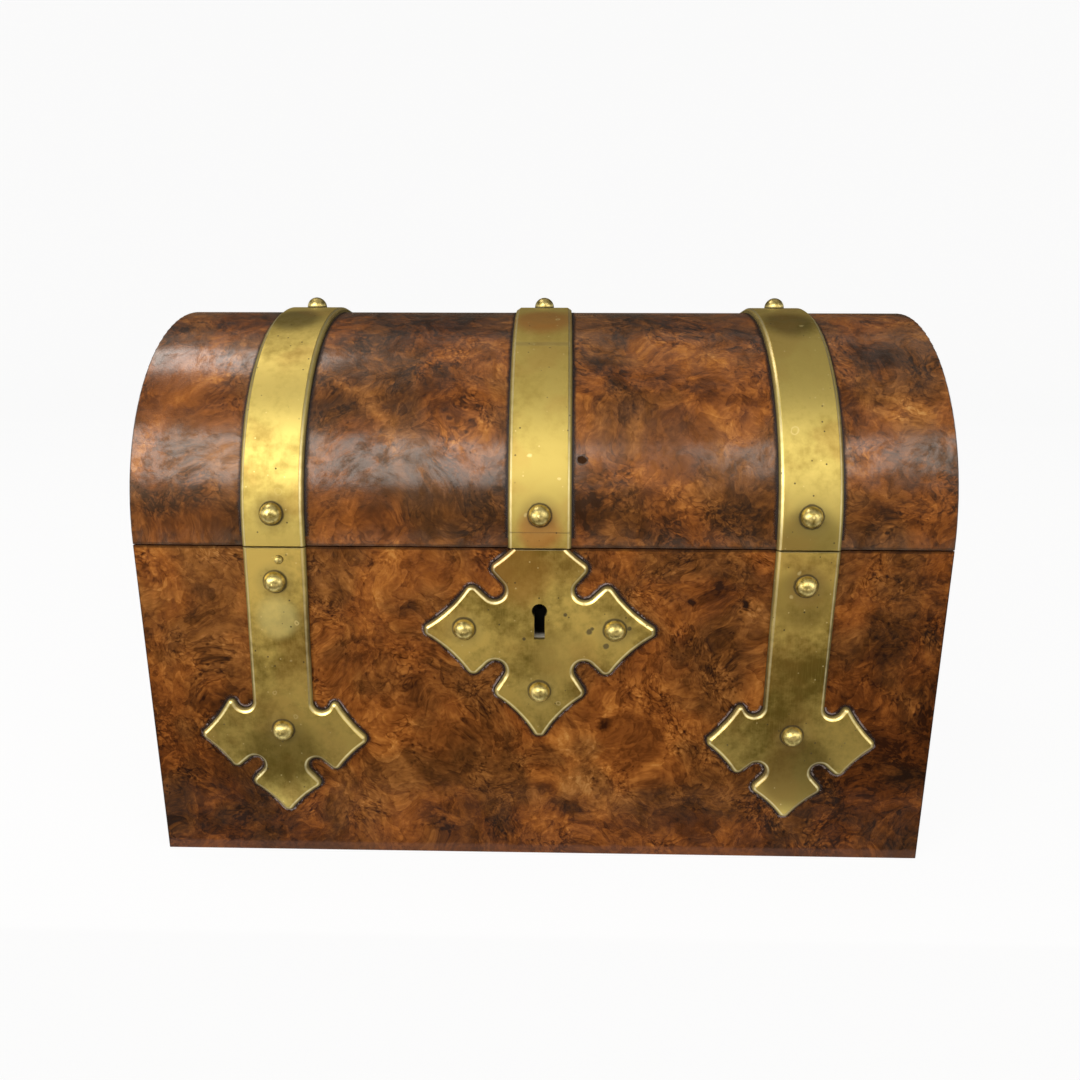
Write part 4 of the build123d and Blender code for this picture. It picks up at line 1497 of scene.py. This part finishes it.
    def lay_baize(self) -> None:
        """Baize glued under the base board, its nap a little uneven."""
        low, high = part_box("base_baize")
        size = high - low
        mesh = self.grid(size.x, size.y)
        centre = (low + high) / 2
        for vert in mesh.verts:
            x, y = vert.co.x, vert.co.y
            wave = noise.noise(Vector((x * self.nap_waves, y * self.nap_waves, 0.0)))
            vert.co = (x + centre.x, y + centre.y, low.z + self.nap * (0.5 + 0.5 * wave))
        self.face_towards(mesh, lambda p: Vector((0.0, 0.0, -1.0)))
        baize = WoolBaize()
        piece = publish(mesh, "baize_under_foot", "case", baize, ["base_baize"])
        self.thicken(piece, size.z - 2 * self.nap)


@dataclass(frozen=True)
class Lamp:
    """A soft rectangular lamp that looks at the middle of the box."""

    name: str
    azimuth: float
    elevation: float
    distance: float
    width: float
    height: float
    radiance: float
    tint: Colour = (1.0, 1.0, 1.0)

    def light(self, target: Vector) -> None:
        """Hang the lamp.

        Args:
            target: The point that it looks at.
        """
        data = bpy.data.lights.new(self.name, "AREA")
        data.shape = "RECTANGLE"
        data.size, data.size_y = self.width, self.height
        data.energy = self.radiance * math.pi * self.width * self.height
        data.color = self.tint
        turn, rise = math.radians(self.azimuth), math.radians(self.elevation)
        out = math.cos(rise)
        way = Vector((math.sin(turn) * out, -math.cos(turn) * out, math.sin(rise)))
        lamp = placed(self.name, data)
        lamp.location = target + way * self.distance
        lamp.rotation_euler = way.to_track_quat("Z", "Y").to_euler()
        lamp.visible_camera = False


@dataclass
class Studio:
    """Camera, lamps, a round pale floor with a coved wall, and a dim world."""

    eye: Colour = (5.70 * MM, -305.55 * MM, 168.02 * MM)
    yaw: float = 1.32
    pitch: float = 15.49
    roll: float = 0.09
    lens: float = 30.24
    sensor: float = 36.0
    near_clip: float = 10 * MM
    target_z: float = 98.4 * MM
    floor_r: float = 1.7
    cove_r: float = 0.35
    wall_top: float = 0.76
    world_level: float = 0.08
    flag_half_w: float = 0.8
    front_flag: tuple[tuple[float, float], ...] = ((-0.1, 0.001), (-0.85, 0.001), (-1.0, 0.46))
    back_flag: tuple[tuple[float, float], ...] = ((0.85, 0.02), (0.95, 0.76))
    lamps: tuple[Lamp, ...] = (
        Lamp("window_left", -25, 32, 1.15, 0.95, 0.54, 5.0, (1.0, 0.96, 0.91)),
        Lamp("window_right", 31, 34, 1.15, 0.62, 0.36, 3.7, (1.0, 0.94, 0.87)),
        Lamp("softbox_front", 0, 54, 1.5, 2.0, 0.8, 0.25),
        Lamp("softbox_top", 180, 78, 1.25, 2.0, 1.2, 0.3, (1.0, 0.9, 0.78)),
        Lamp("side_left", -54, 16, 1.2, 0.7, 0.5, 3.8, (1.0, 0.95, 0.9)),
        Lamp("side_right", 54, 16, 1.2, 0.6, 0.5, 2.6, (1.0, 0.95, 0.9)),
        Lamp("ceiling_left", -107, 63, 1.1, 0.3, 0.32, 6.0, (1.0, 0.92, 0.86)),
    )

    def build(self) -> None:
        """Set up the view, the light and the stage."""
        self.place_camera()
        self.build_stage()
        self.hang_flag("front_flag", self.front_flag)
        self.hang_flag("back_flag", self.back_flag)
        for lamp in self.lamps:
            lamp.light(Vector((0.0, 0.0, self.target_z)))
        world = bpy.data.worlds.new("dim_room")
        bpy.context.scene.world = world
        world.use_nodes = True
        back = world.node_tree.nodes["Background"]
        back.inputs["Color"].default_value = (1.0, 0.99, 0.97, 1.0)
        back.inputs["Strength"].default_value = self.world_level
        bpy.context.scene.view_settings.view_transform = "Standard"

    def place_camera(self) -> None:
        """Put the camera where the photograph was taken from."""
        data = bpy.data.cameras.new("view")
        data.lens, data.sensor_width = self.lens, self.sensor
        data.clip_start = self.near_clip
        camera = placed("view", data)
        turn = Matrix.Rotation(math.radians(self.yaw), 4, "Z")
        tilt = Matrix.Rotation(math.radians(90 - self.pitch), 4, "X")
        lean = Matrix.Rotation(math.radians(self.roll), 4, "Z")
        camera.matrix_world = Matrix.Translation(self.eye) @ turn @ tilt @ lean
        bpy.context.scene.camera = camera

    def build_stage(self) -> None:
        """Turn the floor, its cove and the wall from one profile."""
        mesh = bmesh.new()
        flat_r = self.floor_r - self.cove_r
        inner, start = (mesh.verts.new((x, 0.0, 0.0)) for x in (0.0, flat_r))
        mesh.edges.new((inner, start))
        bmesh.ops.spin(
            mesh, geom=[start], cent=(flat_r, 0.0, self.cove_r), axis=(0.0, -1.0, 0.0),
            angle=math.pi / 2, steps=12,
        )
        top = max(mesh.verts, key=lambda v: v.co.z)
        rise = bmesh.ops.extrude_vert_indiv(mesh, verts=[top])["verts"][0]
        rise.co.z = self.wall_top
        bmesh.ops.spin(
            mesh, geom=mesh.verts[:] + mesh.edges[:], cent=(0.0, 0.0, 0.0), axis=(0.0, 0.0, 1.0),
            angle=math.tau, steps=96, use_merge=True,
        )
        bmesh.ops.remove_doubles(mesh, verts=mesh.verts, dist=0.01 * MM)
        bmesh.ops.recalc_face_normals(mesh, faces=mesh.faces)
        stand(mesh, "pale_floor", StudioWhite())

    def hang_flag(self, name: str, path: tuple[tuple[float, float], ...]) -> None:
        """Hang a dark cloth, out of view, that the polish and the brass mirror.

        Args:
            name: The cloth's name.
            path: Its section, as places on Y and Z.
        """
        mesh = bmesh.new()
        verts = [mesh.verts.new((-self.flag_half_w, y, z)) for y, z in path]
        edges = [mesh.edges.new(pair) for pair in zip(verts, verts[1:])]
        grown = bmesh.ops.extrude_edge_only(mesh, edges=edges)["geom"]
        far = [item for item in grown if isinstance(item, bmesh.types.BMVert)]
        bmesh.ops.translate(mesh, vec=(2 * self.flag_half_w, 0.0, 0.0), verts=far)
        flag = stand(mesh, name, FlagCloth())
        flag.data.shade_flat()
        flag.visible_camera = False
        flag.visible_shadow = False


def main() -> None:
    """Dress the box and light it."""
    logging.basicConfig(level=logging.INFO, format="%(name)s: %(message)s")
    shape = Shape()
    for assembly in (Woodwork(shape), Brasswork(shape), Fittings(), Linings(shape), Studio()):
        LOG.info("building %s", type(assembly).__name__)
        assembly.build()


if __name__ == "__main__":
    main()
